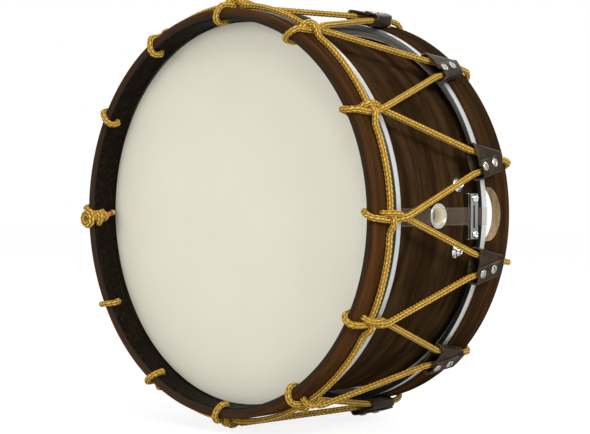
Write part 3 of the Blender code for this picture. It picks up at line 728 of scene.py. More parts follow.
def makeWood():
    vent = radialPlug(sideSet["vent"] / shellRadius, sideSet["ventDepth"], wood["ventHole"])
    front = ropePlugs(junctionTurn, wood["holeAlong"], lacing["holeDepth"])
    behind = ropePlugs(tugAngle, wood["rearHoleAlong"], lacing["rearHoleDepth"])
    behind += [radialPlug(turn, snareTop, wood["gateHalf"], wood["gateDepth"] / wood["gateHalf"], low=0.199,
                          high=0.221, flare=wood["gateFlare"], segments=72) for turn in (0, math.pi)]
    hoop = {"outer": hoopRadius, "wall": wood["hoopWall"], "rounding": wood["hoopRound"], "steps": 6}
    shell = turnedRing("shell_turned", shellRadius, wood["shellWall"], shellLow.y - edgeY,
                       shellHigh.y - edgeY, 3 * mm)
    batter = turnedRing("batter_hoop_turned", front=0, back=batterDepth, **hoop)
    rear = turnedRing("snare_hoop_turned", front=snareTop, back=overall, **hoop)
    for item, material, cutter, slot, node in (
        (shell, shellWood, vent, "shell", "shell"),
        (batter, hoopWood, joinItems(front), "hoop", "batter_counterhoop"),
        (rear, rearWood, joinItems(behind), "hoop", "snare_counterhoop"),
    ):
        item.data.materials.append(material)
        cutHoles(item, cutter, cutWood)
        finishPiece(item, None, "drum", slot, node)


makeWood()
print("wood turned")


# Heads and their metal rims

headLook = {
    "film": 0.35 * mm,
    # (radius, depth) in millimetres: flat, over the bearing edge, down the collar and out under the rim
    "stops": [(0.5, -0.9), (150, -0.9), (199.0, -0.9), (203.0, -0.7), (207.8, -0.1), (207.8, 0.7),
              (205.0, 1.3), (205.0, 5.2), (207.4, 7.0), (210.5, 8.2)],
    "rimWall": 5.9 * mm,
    "rimRound": 1.3 * mm,
    "rimDeeper": {"batter": 3.6 * mm, "snare": 0},     # than the CAD rim
    "segments": 320,
}


def makeHeads():
    # The film's profile runs out along its stops, and back a film's thickness below along their normals
    segments = headLook["segments"]
    outer = roundCorners(np.array(headLook["stops"]) * mm, 1 * mm, 4, closed=False)
    shift = np.gradient(outer, axis=0)
    normal = unit(np.stack([-shift[:, 1], shift[:, 0]], axis=-1))
    profile = np.concatenate([outer, (outer + normal * headLook["film"])[::-1]])
    batter = turnedSurface("batter_head_film", profile + np.array([0, shellLow.y - edgeY]), segments)
    finishPiece(batter, headFilm, "drum", "batter_film", "batter_head")
    mirrored = (profile * np.array([1, -1]))[::-1] + np.array([0, shellHigh.y - edgeY])
    snare = turnedSurface("snare_head_film", mirrored, segments)
    finishPiece(snare, thinFilm, "drum", "snare_film", "snare_head")
    for side, deeper in headLook["rimDeeper"].items():
        low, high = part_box(side + "_flesh_hoop")
        rim = turnedRing(side + "_rim", (high.z - low.z) / 2, headLook["rimWall"], low.y - edgeY,
                         high.y - edgeY + deeper, headLook["rimRound"], segments=segments)
        finishPiece(rim, rimMetal[side], "drum", "flesh_hoop", side + "_flesh_hoop")


makeHeads()
print("heads stretched")


# Braided rope

braid = {
    "around": 36,
    "spacing": 0.8 * mm,
    "legs": 6,                                     # slanting stitch legs round the rope, two to each V
    "pitch": 4.8 * mm,
    "slant": 0.75,
    "depth": 0.24,
}


def braidRelief(along, around):
    # Stitch legs stand side by side round the rope, slanting one way and the other. A stitch's height is the
    # product of the cosines of its two offsets, flattened by powers, and every second V is half a pitch on
    leg = braid["legs"] * around / fullTurn
    number = np.floor(leg)
    across = leg - number - 0.5
    way = np.where(number % 2 == 0, 1.0, -1.0)
    run = along / braid["pitch"] + way * across * braid["slant"] + 0.5 * (np.floor(number / 2) % 2)
    length = run - np.floor(run) - 0.5
    height = np.abs(np.cos(math.pi * across)) ** 0.55 * np.abs(np.cos(math.pi * length)) ** 0.5
    cell = np.floor(run) * 7.31 + number * 3.17
    shade = np.sin(cell * 12.9898) * 43758.5453
    return height, shade - np.floor(shade), across * way + length * 0.4


def braidTube(name, route, reference, radius, taper=None, closed=False, phase=0.0):
    # A braided tube along a route; the reference direction sets where the braid starts around it
    points, at = resample(route, braid["spacing"])
    if closed:
        points = points[:-1]
        at = at[:-1]
        ahead = np.roll(points, -1, axis=0) - np.roll(points, 1, axis=0)
        lead = at[-1] + braid["spacing"]
        at = at * (round(lead / braid["pitch"]) * braid["pitch"] / lead)
    else:
        ahead = np.gradient(points, axis=0)
    ahead = unit(ahead)
    reference = reference(points) if callable(reference) else np.broadcast_to(reference, points.shape)
    side = unit(reference - ahead * (reference * ahead).sum(1, keepdims=True))
    rise = np.cross(ahead, side)
    around = np.linspace(0, fullTurn, braid["around"], endpoint=False)
    relief, stitch, fibre = braidRelief(at[:, None] + phase, around[None, :])
    scale = np.ones(len(points)) if taper is None else taper(at / at[-1])
    size = radius * (1 - braid["depth"] + (braid["depth"] + 0.02) * relief) * scale[:, None]
    grid = (points[:, None] + side[:, None] * (np.cos(around)[None, :] * size)[..., None]
            + rise[:, None] * (np.sin(around)[None, :] * size)[..., None])
    item = addGrid(name, grid, closeRows=closed, closeColumns=True, capRows=not closed)
    setFloats(item, relief=relief, stitch=stitch, fibre=fibre)
    return item


def hoopDirection(points):
    # Direction along the hoop at each point
    theta = np.arctan2(points[:, 2] - axisHeight, points[:, 0])
    return np.stack([-np.sin(theta), np.zeros_like(theta), np.cos(theta)], axis=-1)


def outwardDirection(points):
    theta = np.arctan2(points[:, 2] - axisHeight, points[:, 0])
    return np.stack([np.cos(theta), np.zeros_like(theta), np.sin(theta)], axis=-1)

# Stops of the strands at a junction and inside a tug, in millimetres: along the hoop, above it, and deep
weave = {
    "lower": [(1.0, 3.6, 37.5), (3.2, 9.6, 25.5), (3.4, 9.3, 16.5), (3.4, 3.5, 12), (3.4, -6, 12)],
    "upper": [(-1.0, 9.8, 37.5), (-3.4, 3.4, 26), (-3.2, 3.4, 15), (-1.4, 3.4, 1.2), (-0.4, -1.2, -3.2),
              (4.0, -9.8, -3.2), (6.2, -14.6, 1.6), (5.4, -14.8, 8), (3.4, -14.8, 12), (3.4, -6, 12)],
    "leaning": {"stops": slice(3, 8), "shares": np.array([0.2, 0.5, 1.0, 1.0, 0.7])},
    "running": [(-15.5, 3.4), (-8.2, 9.0), (-3.2, 9.4), (3.2, 3.4)],
    # The running rope on its way to the next junction: its height, where that starts, and how much of the
    # way the two junctions take
    "between": {"height": 4.15 * mm, "start": 4.67 * mm, "taken": 24.67 * mm, "stops": 7},
    "tug": np.array([(9.6, 6.0, 176), (12.6, 6.0, 158.5)]),
}


def armRoute(turn, stops, tugTurn, side):
    # From inside a tug, on one side of it, to a junction and through its hole
    inside = hoopStops(tugTurn, weave["tug"] * (side, 1, 1))
    return openRoute(np.concatenate([inside, hoopStops(turn, stops)]))


def makeRope():
    count = lacing["count"]
    radius = lacing["radius"]
    hole = lacing["rearHoleDepth"] / mm
    back = overall / mm
    # Where the strands give when a tug slides: before it, and behind it
    tailStops = [(12.0, 6.5, 162), (4, 6.5, 209), (1, 4.2, back - 1.3), (-0.5, -1.3, back + 4.2),
                 (-2.5, -10.7, back + 4.2), (-3, -16.8, back - 1.8), (-4.2, -16.8, hole), (-4.2, 2.5, hole),
                 (-4.4, 6.5, hole - 3), (-12.0, 6.5, 162)]
    for number in range(count):
        tugTurn = tugAngle(number)
        tug = f"tug_{number + 1:02d}"
        looped = np.array(weave["upper"], float)
        looped[weave["leaning"]["stops"], 0] += lacing["lean"][number] * weave["leaning"]["shares"]
        route = armRoute(junctionTurn(number), looped, tugTurn, -1)
        up = braidTube(f"rope_up_to_{tug}", route, hoopDirection, radius, phase=0.004 * number)
        route = armRoute(junctionTurn(number + 1), weave["lower"], tugTurn, 1)
        down = braidTube(f"rope_down_to_{tug}", route, hoopDirection, radius, phase=0.003 * number)
        for arm in (up, down):
            finishPiece(arm, ropeMaterial, None, "rope", "tension_rope")
            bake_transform(arm)
        route = openRoute(hoopStops(tugTurn, tailStops))
        tail = braidTube(f"rope_behind_{tug}", route, hoopDirection, radius,
                         taper=lambda share: np.where(np.abs(share - 0.5) > 0.44, 0.88, 1.0))
        finishPiece(tail, ropeMaterial, None, "rope", "tension_rope")
        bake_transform(tail)
    woven = []
    knots = np.asarray(weave["running"], float) * mm
    between = weave["between"]
    span = np.linspace(0, 1, between["stops"] + 2)[1:-1]
    for number in range(count):
        turn = junctionTurn(number)
        way = (junctionTurn(number + 1) - turn) % fullTurn * hoopRadius - between["taken"]
        for along, high in (knots.T, (between["start"] + span * way, between["height"])):
            woven.append(hoopPoints(turn, along, high, lacing["runningDepth"]))
    route = roundCorners(np.concatenate(woven), 6 * mm, 6)
    route = np.concatenate([route, route[:1]])
    ring = braidTube("running_rope_braid", route, np.array([0.0, 1.0, 0.0]), radius, closed=True)
    finishPiece(ring, ropeMaterial, "drum", "rope", "running_rope")


makeRope()
print("rope laced")


# Knot at the rope's end

knotLook = {
    # In millimetres, each place as (x, depth, height over the axis)
    "eye": {"centre": (-213.2, -4.8, -8.4), "radius": 6.7, "tube": 4.5, "turn": -2},
    "turns": (
        {"stops": ((-205.5, 3.2, -0.2), (-201.8, 3.0, -3.4), (-200.8, 3.2, -7.6), (-201.8, 3.6, -11.6),
                   (-205.5, 4.4, -14.6)), "tube": 4.3},
        {"stops": ((-206, 9.4, -0.9), (-201.6, 9.8, -2.4), (-200.8, 11.2, -5.2), (-202.0, 12.4, -7.8),
                   (-206, 12.4, -9.6)), "tube": 3.7},
    ),
    "tail": ((-207.5, -1.0, -6.8), (-203.5, 5.0, -6.6), (-202.6, 13.0, -4.8), (-202.4, 19.0, -2.8)),
    "tailTube": (4.6, 2.7),
    "whipping": {"tube": 3.0, "length": 3.4, "winds": 10},
    "tip": ((2.0, -0.6), (2.9, 0.0), (3.25, 1.0), (3.1, 2.2), (2.4, 3.3), (1.3, 4.0), (0.3, 4.2)),
}


def knotPoints(stops):
    return np.asarray(stops, float) * mm + np.array([0, edgeY, axisHeight])


def makeKnot():
    # The eye is a braided ring at the hoop's edge, the stopper two fat turns over the tail, and the tail a
    # tapering braid, whipped with thread at its end
    eye = knotLook["eye"]
    tilt = math.radians(eye["turn"])
    across = np.array([-math.cos(tilt), -math.sin(tilt), 0])
    up = np.array([0.0, 0.0, 1.0])
    turn = np.linspace(0, fullTurn, 60)[:, None]
    ring = knotPoints(eye["centre"]) + eye["radius"] * mm * (across * np.cos(turn) + up * np.sin(turn))
    pieces = [braidTube("knot_eye", ring, np.cross(across, up), eye["tube"] * mm, closed=True)]
    for number, coil in enumerate(knotLook["turns"]):
        route = openRoute(knotPoints(coil["stops"]), 4)
        piece = braidTube(f"knot_turn_{number + 1}", route, np.array([0.0, 1.0, 0.0]), coil["tube"] * mm,
                          taper=lambda share: 1 - 0.35 * np.abs(2 * share - 1) ** 3, phase=0.002 * number)
        pieces.append(piece)
    route = openRoute(knotPoints(knotLook["tail"]), 4)
    thick, thin = knotLook["tailTube"]
    pieces.append(braidTube("knot_tail", route, np.array([1.0, 0.2, 0.0]), thick * mm,
                            taper=lambda share: 1 - (1 - thin / thick) * share))
    for piece in pieces:
        finishPiece(piece, ropeMaterial, "drum", "rope", "rope_end_knot")
    way = route[-1] - route[-2]
    tube, length, winds = knotLook["whipping"].values()
    step = length / winds
    wound = [(tube + 0.28 * (k % 2), -0.2 + step * k) for k in range(winds + 1)]
    wound = np.array([(1.5, -0.4), *wound, (1.2, length + 0.2)])
    tip = np.array(knotLook["tip"]) + np.array([0, length])
    for name, profile, material in (("knot_whipping", wound, redThread), ("knot_tip", tip, yellowTip)):
        finishPiece(localTurned(name, profile * mm, route[-1], way, 32), material, "drum", "whipping",
                    "tail_whipping")


makeKnot()
print("knot tied")


# Leather tugs

tugLook = {
    "front": (158.5, 161.5, 163.5),                # depth of the front edge at the floor, sides and top
    "frontSlant": -0.11,                           # depth change along the hoop
    "rear": 201.5,
    "rearSlant": 0.24,
    "halfFront": 19.0,
    "halfRear": 10.6,
    "ceilingFront": 12.0,
    "ceilingRear": 11.6,
    "floor": 1.4,
    "thick": 1.9,
    "flapEnd": (-0.5, 8.5),                        # where the flap's free edge runs, at front and rear
    "flapLift": 2.1,                               # of the flap over the roof below it
    "rivets": ((-6.5, 169.5), (-2.5, 187.0)),
    "rivetRadius": 4.7,
    "rivetRise": 1.3 * mm,
    "slotHalf": 0.75 * mm,
    "slotDeep": 1.0 * mm,
    "edgeRound": 0.45 * mm,
}


def splineBasis(controls, samples):
    # Weights of an open quadratic B-spline, one row for each sample
    knots = np.concatenate([[0, 0], np.linspace(0, 1, controls - 1), [1, 1]])
    t = np.linspace(0, 1 - 1e-9, samples)[:, None]
    basis = ((t >= knots[None, :-1]) & (t < knots[None, 1:])).astype(float)
    for degree in (1, 2):
        span = knots[degree:] - knots[:-degree]
        rising = np.divide(t - knots[:-degree], span, out=np.zeros((samples, len(span))), where=span > 0)
        first = rising[:, :-1]
        second = (1 - rising)[:, 1:]
        basis = first * basis[:, :-1] + second * basis[:, 1:]
    return basis


def tugSheet(name, change):
    # One strip: from under the overlap along the top, round the upper side, back under the floor, round the
    # lower side and over the top again as the riveted flap, whose free edge runs slanting to the rear. Across
    # it the outline is a spline, and along it the outline narrows; change holds small turns of one tug
    rows = 30
    columns = 96
    share = np.linspace(0, 1, rows)
    half = tugLook["halfFront"] + (tugLook["halfRear"] - tugLook["halfFront"]) * share
    half += 0.9 * np.sin(math.pi * share) * (0.4 + change[0])
    roof = tugLook["ceilingFront"] + (tugLook["ceilingRear"] - tugLook["ceilingFront"]) * share
    first, last = tugLook["flapEnd"]
    flapEnd = first + (last - first) * share + 1.2 * change[1]
    floor = np.full(rows, tugLook["floor"])
    flap = roof + tugLook["flapLift"]
    aside = (-0.35, 0, 0.55, 0.93, 1, 1, 0.93, 0.5, 0, -0.5, -0.93, -1, -1, -0.95, -0.6)
    along = np.stack([half * part for part in aside] + [-half * 0.2 + flapEnd * 0.3, flapEnd], axis=1)
    high = np.stack([roof, roof, roof, roof - 0.2, roof - 2.5, floor + 2.6, floor + 0.1, floor, floor, floor,
                     floor + 0.1, floor + 2.6, roof - 1.0, flap - 0.5, flap, flap, flap - 0.3], axis=1)
    basis = splineBasis(along.shape[1], columns)
    along = along @ basis.T
    high = high @ basis.T
    middle = (tugLook["floor"] + tugLook["ceilingFront"]) / 2
    level = np.clip((high[0] - middle) / middle, -1, 1)
    low, side, top = tugLook["front"]
    front = side + np.where(level > 0, top - side, low - side) * np.abs(level) ** 1.5
    front = front + (tugLook["frontSlant"] + 0.05 * change[2]) * along[0]
    rear = tugLook["rear"] + (tugLook["rearSlant"] + 0.06 * change[3]) * along[-1]
    rear = rear - np.where(level < -0.5, 2.5, 0)
    depth = front + (rear - front) * share[:, None]
    sheet = addGrid(name, hoopPoints(0.0, along * mm, high * mm, depth * mm))
    toEnd = np.minimum(share, 1 - share)[:, None] * 40
    toEdge = np.minimum(toEnd, np.linspace(40, 0, columns) * 1.6)
    setFloats(sheet, rim=np.clip(1 - toEdge / 2.2, 0, 1))
    return sheet


def turnAbout(item, turn):
    # Turns a mesh about the drum's axis
    points = np.empty(len(item.data.vertices) * 3, np.float32)
    item.data.vertices.foreach_get("co", points)
    x, y, z = points.reshape(-1, 3).T.astype(float)
    z = z - axisHeight
    c = math.cos(turn)
    s = math.sin(turn)
    turned = np.stack([x * c - z * s, y, axisHeight + x * s + z * c], axis=-1)
    item.data.vertices.foreach_set("co", turned.astype(np.float32).ravel())
    item.data.update()


def rivetHead(name, turn, along, depth, height, slotTurn):
    # A shallow dome with a screwdriver slot: the height falls with the radius squared, less the slot's trough
    rings = np.concatenate([np.linspace(0.02, 0.9, 14), [0.96, 1.0, 1.0]])[:, None]
    theta = np.linspace(0, fullTurn, 56, endpoint=False)[None, :]
    size = tugLook["rivetRadius"] * mm
    radius = rings * size
    lateral = radius * np.sin(theta - slotTurn)
    rise = tugLook["rivetRise"] * (1 - rings ** 2.4) + 0.35 * mm
    trough = np.clip(1 - (np.abs(lateral) / tugLook["slotHalf"]) ** 4, 0, 1)
    rise = rise - tugLook["slotDeep"] * trough * (rings < 0.98)
    rise[-1] = -0.8 * mm
    centre = hoopPoints(turn, along, height, depth)
    out = outwardDirection(centre[None])[0]
    side = hoopDirection(centre[None])[0]
    ahead = unit(np.array([0.0, 1.0, 0.0]) - out * 0.02)
    normal = np.cross(side, ahead)
    normal *= np.sign(normal @ out)
    grid = (centre + side * (radius * np.cos(theta))[..., None]
            + ahead * (radius * np.sin(theta))[..., None] + normal * rise[..., None])
    item = addGrid(name, grid, closeColumns=True, capRows=True)
    setFloats(item, slot=trough * (rings < 0.98))
    return item


def makeTugs():
    random = np.random.default_rng(11)
    for number in range(lacing["count"]):
        tug = f"tug_{number + 1:02d}"
        turn = tugAngle(number)
        skin = tugSheet(f"leather_{tug}", random.uniform(-1, 1, 4))
        thick = skin.modifiers.new("leather", "SOLIDIFY")
        thick.thickness = tugLook["thick"] * mm
        thick.offset = 0
        edge = skin.modifiers.new("edges", "BEVEL")
        edge.width = tugLook["edgeRound"]
        edge.segments = 2
        edge.limit_method = "ANGLE"
        edge.angle_limit = math.radians(50)
        bakeModifiers(skin)
        turnAbout(skin, turn)
        skin.data.shade_smooth()
        sharpen(skin, 40)
        finishPiece(skin, leatherMaterial, tug, "leather", tug)
        for which, (along, depth) in enumerate(tugLook["rivets"]):
            high = tugLook["ceilingFront"] + 2.9 - 0.012 * (depth - 165)
            item = rivetHead(f"rivet_{number + 1:02d}_{which + 1}", turn, along * mm, depth * mm, high * mm,
                             random.uniform(-0.7, 0.5))
            finishPiece(item, rivetMetal, tug, "leather")


makeTugs()
print("tugs riveted")


# Vent, strap, clamp and bolts on the near side

# Closed (radius, height over the shell) profiles in millimetres
profiles = {
    "eyelet": [(9.6, -11), (11.0, -10.8), (11.2, -10.0), (10.9, -9.4), (10.9, -0.2), (13.2, -0.1),
               (13.6, 0.3), (13.4, 1.0), (12.6, 1.5), (11.8, 1.2), (11.2, 0.7), (10.6, 1.1), (10.0, 0.9),
               (9.6, 0.0)],
    "sleeve": [(9.55, 0.3), (9.0, -0.6), (8.9, -10.9), (9.55, -10.9)],
    "cup": [(2.7, 0.0), (8.0, 0.0), (8.0, 0.8), (7.5, 1.2), (6.2, 1.9), (5.6, 2.9), (5.0, 3.1), (2.7, 3.0)],
}


def shellSeat(turn, depth):
    # A place just over the shell on the near side, and the way out there
    outward = sideFrame(turn)[0]
    return np.array([0, edgeY + depth, axisHeight]) + outward * (shellRadius + 0.3 * mm), outward


def makeVent():
    # A rolled eyelet ring on the shell, and a pale lacquered sleeve inside its bore that glows as painted
    # light
    seat, outward = shellSeat(sideSet["vent"] / shellRadius, sideSet["ventDepth"])
    profile = roundCorners(np.array(profiles["eyelet"]) * mm, 0.5 * mm, 3)
    ring = localTurned("vent_ring", profile, seat, outward, 72, ring=True)
    finishPiece(ring, nickel, "drum", "nickel", "vent_eyelet")
    lining = localTurned("vent_sleeve", np.array(profiles["sleeve"]) * mm, seat, outward, 72, ring=True)
    finishPiece(lining, glowingCreamLacquer, "drum", "batter_film")


strapLook = {
    "half": 9.1 * mm,
    "thick": 0.7 * mm,
    # The (radius, depth) stops in millimetres: each strap's own, then over the rim and down through the gate
    "near": [(204.3, 44), (204.6, 60), (205.6, 104), (205.9, 120), (205.9, 136), (211.2, 163), (211.2, 177.2),
             (217.5, 179.3)],
    "far": [(212.2, 158), (212.2, 175.5), (217.5, 179.4)],
    "gate": [(217.5, 189.2), (209, 196.2), (204.2, 198.2), (164, 198.2)],
}


def strapSheet(name, stops, turn, node, flex=None):
    # A flat strap carried along its route, its edges softly rounded. Where flex is given, the strap gets no
    # body and is baked in place; the body and the two depths named in flex are not used
    half = strapLook["half"]
    thick = strapLook["thick"]
    route = roundCorners(np.array(stops + strapLook["gate"]) * mm, 4 * mm, 6, closed=False)
    points = resample(route, 1.2 * mm)[0]
    ahead = unit(np.gradient(points, axis=0))
    normal = np.stack([ahead[:, 1], -ahead[:, 0]], axis=-1)
    across = np.array([-1, -0.93, 0.93, 1, 1, 0.93, -0.93, -1]) * half
    section = roundCorners(np.stack([across, np.repeat([-thick / 2, thick / 2], 4)], axis=-1), thick * 0.3, 2)
    radius, depth = (points[:, axis, None] + normal[:, axis, None] * section[:, 1] for axis in (0, 1))
    side = np.broadcast_to(section[:, 0], radius.shape)
    outward, tangent = sideFrame(turn)
    grid = (np.array([0, edgeY, axisHeight]) + radius[..., None] * outward + side[..., None] * tangent
            + depth[..., None] * np.array([0, 1, 0]))
    strap = addGrid(name, grid, closeColumns=True, capRows=True)
    setFloats(strap, rim=np.clip((np.abs(side) / half - 0.9) * 10, 0, 1))
    sharpen(strap, 50)
    finishPiece(strap, strapMaterial, None if flex else "drum", "strap", node)
    if flex:
        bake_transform(strap)


def slab(name, low, high, rounding):
    # A rounded plate on the near side between two corners, each outward, along the hoop and deep
    ends = np.array([low, high])
    corners = np.array([(x, z, y) for x in ends[:, 0] for y in ends[:, 1] for z in ends[:, 2]])
    points = corners + np.array([0, edgeY, axisHeight])
    faces = np.array([(0, 1, 3, 2), (4, 6, 7, 5), (0, 4, 5, 1), (2, 3, 7, 6), (0, 2, 6, 4), (1, 5, 7, 3)])
    if enclosedVolume(points - points.mean(0), [faces]) < 0:
        faces = faces[:, ::-1]
    plate = addMesh(name, points, faces)
    edge = plate.modifiers.new("edges", "BEVEL")
    edge.width = rounding
    edge.segments = 3
    edge.limit_method = "ANGLE"
    bakeModifiers(plate)
    plate.data.shade_smooth()
    sharpen(plate)
    return plate


def roundScrew(name, origin, outward, radius, rise, shank, crossTurn):
    # A round head with a cross recess: the dome's height less two crossed troughs near its middle
    rings = np.concatenate([np.linspace(0.02, 0.97, 22), [1.0]])[:, None]
    theta = np.linspace(0, fullTurn, 64, endpoint=False)
    spread = rings * radius
    dome = rise * np.sqrt(np.clip(1 - (rings * 0.97) ** 2, 0, 1))
    first = np.abs(spread * np.cos(theta - crossTurn))
    second = np.abs(spread * np.sin(theta - crossTurn))
    narrow = np.minimum(first, second) / (0.13 * radius)
    recess = np.clip(1 - narrow ** 4, 0, 1) * np.clip((0.56 - rings) / 0.12, 0, 1)
    height = dome - rise * 0.5 * recess
    side = unit(np.cross(outward, [0, 1.0, 0]))
    across = np.cross(outward, side)
    ring = side * np.cos(theta)[:, None] + across * np.sin(theta)[:, None]
    top = origin + outward * height[..., None] + ring[None] * spread[..., None]
    below = np.stack([origin - outward * down + ring * out for down, out in (
        (0.1 * mm, radius), (0.15 * mm, shank[0]), (shank[1], shank[0]))])
    return addGrid(name, np.concatenate([top, below]), closeColumns=True, capRows=True)


clampLook = {
    "under": 0.2 * mm,                             # the base plate's underside over the shell
    "hollow": (0.13, 0.21),                        # depths between which the hollow under it is cut
    "slotHalf": 12.5 * mm,
    "slotDepths": (167.4 * mm, 170.4 * mm),
    "screwAside": 19 * mm,
    # Radius and rise of the head, then the shank's radius and length
    "screw": (4.5 * mm, 3.0 * mm, (1.9 * mm, 22.8 * mm)),
    "bolt": (5.0 * mm, 3.8 * mm, (2.5 * mm, 17 * mm)),
}


def makeButt():
    # The strap, the two plates that clamp it, their round screws, and the bolts in cup washers beside them
    strapSheet("butt_strap_sheet", strapLook["near"], sideSet["strap"] / shellRadius, "butt_strap")
    aside = sideSet["clamp"]
    low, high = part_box("butt_clamp_plate")
    bottom = low.z - axisHeight + aside
    top = high.z - axisHeight + aside
    front = low.y - edgeY
    back = high.y - edgeY
    plate = slab("butt_clamp_bar", (low.x, bottom, front), (high.x, top, back), 1.1 * mm)
    slotHalf = clampLook["slotHalf"]
    slotFront, slotBack = clampLook["slotDepths"]
    slot = slab("slot_cut", (low.x - 3 * mm, aside - slotHalf, slotFront),
                (high.x + 3 * mm, aside + slotHalf, slotBack), 1.3 * mm)
    under = shellRadius + clampLook["under"]
    base = slab("butt_base_bar", (under, bottom - 0.3 * mm, front + 1.6 * mm),
                (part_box("butt_base_plate")[1].x, top + 0.3 * mm, back + 0.4 * mm), 0.7 * mm)
    theta = np.linspace(0, fullTurn, 360, endpoint=False)
    curve = np.stack([drumPoints(theta, under, depth) for depth in clampLook["hollow"]])
    curve = addGrid("shell_curve", curve, closeColumns=True, capRows=True)
    for item, cutter, node in ((plate, slot, "butt_clamp_plate"), (base, curve, "butt_base_plate")):
        cutHoles(item, cutter)
        finishPiece(item, agedChrome, "drum", "chrome", node)
    cup = roundCorners(np.array(profiles["cup"]) * mm, 0.5 * mm, 3)
    for side, word, degrees in zip((-1, 1), ("left", "right"), sideSet["bolts"]):
        up = axisHeight + side * clampLook["screwAside"] + aside
        origin = np.array([high.x + 0.1 * mm, edgeY + sideSet["screwDepth"], up])
        screw = roundScrew("butt_screw_head_" + word, origin, np.array([1.0, 0, 0]), *clampLook["screw"],
                           0.3 + side)
        finishPiece(screw, chrome, "drum", "chrome", "butt_screw_" + word)
        seat, outward = shellSeat(math.radians(degrees), sideSet["boltDepth"])
        washer = localTurned("cup_" + word, cup, seat, outward, 56, ring=True)
        finishPiece(washer, chrome, "drum", "chrome", "cup_washer_" + word)
        bolt = roundScrew("bolt_head_" + word, seat + outward * 3.2 * mm, outward, *clampLook["bolt"], 1.1)
        finishPiece(bolt, chrome, "drum", "chrome", "mushroom_bolt_" + word)


makeVent()
makeButt()
print("clamp fitted")


# Snares and the strainer on the far side keep their CAD shapes, in their own finishes

def dressNodes():
    finishes = {"shell_ring_batter": cutWood, "shell_ring_snare": cutWood, "strainer_strap": None}
    for name in ("snare_wires", "bolt_nut_left", "bolt_nut_right", "strainer_pin"):
        finishes[name] = steel
    for name, item in nodes.items():
        shiny = name.startswith("strainer_") or "screw" in name
        material = finishes.get(name, chrome if shiny else None)
        if material is not None and not item.hide_render:
            item.data.materials.clear()
            item.data.materials.append(material)
    strapSheet("strainer_strap_sheet", strapLook["far"], math.pi, "strainer_strap",
               ("strainer_slider", 180, 194))


dressNodes()
print("far side dressed")


# Floor, lamps and camera

studio = {
    "azimuth": 43.4,
    "elevation": 1.25,
    "distance": 7.776,                             # in hoop radii
    "aimRight": 0.375,
    "aimUp": -0.015,
    "focal": 1595.0,                               # in pixels of the 590 pixel wide picture
    "width": 590.0,
    "sky": (0.49, 0.49, 0.485),
    "lamps": (
        ("key", (1.45, -1.5, 2.0), (0.6, 0.6), 10),
        ("side", (2.4, -0.5, 1.5), (0.6, 0.8), 42),
        ("front", (-0.4, -4.0, 0.9), (3.0, 3.0), 56),
        ("back", (-1.2, 2.2, 1.6), (1.6, 1.6), 20),
    ),
}


def makeCamera():
    turn = math.radians(studio["azimuth"])
    rise = math.radians(studio["elevation"])
    back = Vector((math.sin(turn) * math.cos(rise), -math.cos(turn) * math.cos(rise), math.sin(rise)))
    right = Vector((math.cos(turn), math.sin(turn), 0))
    up = back.cross(right)
    aim = (Vector((0, edgeY, axisHeight)) + right * studio["aimRight"] * hoopRadius
           + up * studio["aimUp"] * hoopRadius)
    data = bpy.data.cameras.new("camera")
    data.sensor_width = 36
    data.lens = studio["focal"] / studio["width"] * 36
    data.clip_end = 30
    camera = bpy.data.objects.new("camera", data)
    bpy.context.scene.collection.objects.link(camera)
    rotation = Matrix(np.array([right, up, back]).T).to_4x4()
    camera.matrix_world = Matrix.Translation(aim + back * studio["distance"] * hoopRadius) @ rotation
    bpy.context.scene.camera = camera


def addLamp(name, place, aim, size, power):
    data = bpy.data.lights.new(name, "AREA")
    data.shape = "RECTANGLE"
    data.size, data.size_y = size
    data.energy = power
    lamp = bpy.data.objects.new(name, data)
    bpy.context.scene.collection.objects.link(lamp)
    lamp.location = place
    lamp.rotation_euler = (Vector(aim) - Vector(place)).to_track_quat("-Z", "Y").to_euler()


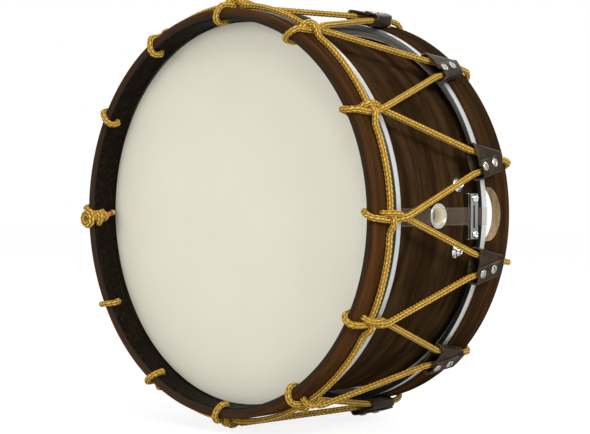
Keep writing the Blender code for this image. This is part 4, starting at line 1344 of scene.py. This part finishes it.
def roomGloss(tree):
    # What shiny surfaces reflect of the room: white all round, but darker low down towards the front left
    place = addNode(tree, "TexCoord").outputs["Generated"]
    way = addNode(tree, "VectorMath", place, (-0.35, -0.93, 0.0), operation="DOT_PRODUCT")
    toward = ramp(tree, way.outputs["Value"], 0.0, 0.75)
    low = fall(tree, splitPlace(tree, place)["Z"], 0.1, 0.5)
    return minus(tree, 1.0, times(tree, times(tree, toward, low), 0.88))


def makeFloor():
    # Lit and shaded by the lamps for the camera, and a plain pale surface for all other rays
    size = 6.0
    points = np.array([(-size, -size, 0), (size, -size, 0), (size, size, 0), (-size, size, 0)], float)
    floor = addMesh("floor", points, np.array([(0, 1, 2, 3)]), smooth=False)
    made, tree, shader = newMaterial("paleFloor", (0.8, 0.8, 0.8), 0.6)
    seen = addNode(tree, "LightPath").outputs["Is Camera Ray"]
    glow = addNode(tree, "Emission", Color=(1, 1, 1, 1), Strength=0.86)
    plain = addNode(tree, "BsdfDiffuse", Color=(0.26, 0.26, 0.26, 1))
    both = addNode(tree, "AddShader", glow.outputs[0], plain.outputs[0])
    mix = mixShader(tree, seen, shader.outputs[0], both.outputs[0])
    plug(tree, tree.nodes["Material Output"].inputs["Surface"], mix)
    floor.data.materials.append(made)


def makeWorld():
    # The camera sees white, shiny surfaces see the room, and all else is lit by an even grey sky
    world = bpy.data.worlds.new("studio")
    bpy.context.scene.world = world
    world.use_nodes = True
    tree = world.node_tree
    sky = feed(tree, tree.nodes["Background"], Color=studio["sky"])
    path = addNode(tree, "LightPath").outputs
    white = addNode(tree, "Background", Color=(1, 1, 1, 1), Strength=1.0)
    black = addNode(tree, "Background", Color=(0.08, 0.08, 0.08, 1), Strength=1.0)
    glossy = times(tree, path["Is Glossy Ray"], roomGloss(tree))
    seen = mathNode(tree, "MAXIMUM", path["Is Camera Ray"], glossy)
    seen = mathNode(tree, "MAXIMUM", seen, path["Is Transmission Ray"])
    dim = mixShader(tree, path["Is Glossy Ray"], sky.outputs[0], black.outputs[0])
    mix = mixShader(tree, seen, dim, white.outputs[0])
    plug(tree, tree.nodes["World Output"].inputs["Surface"], mix)


def makeStage():
    makeFloor()
    makeWorld()
    for name, place, extent, power in studio["lamps"]:
        addLamp(name, place, (0, 0, axisHeight), extent, power)
    bpy.context.scene.view_settings.view_transform = "Standard"


makeCamera()
makeStage()
print("stage set")
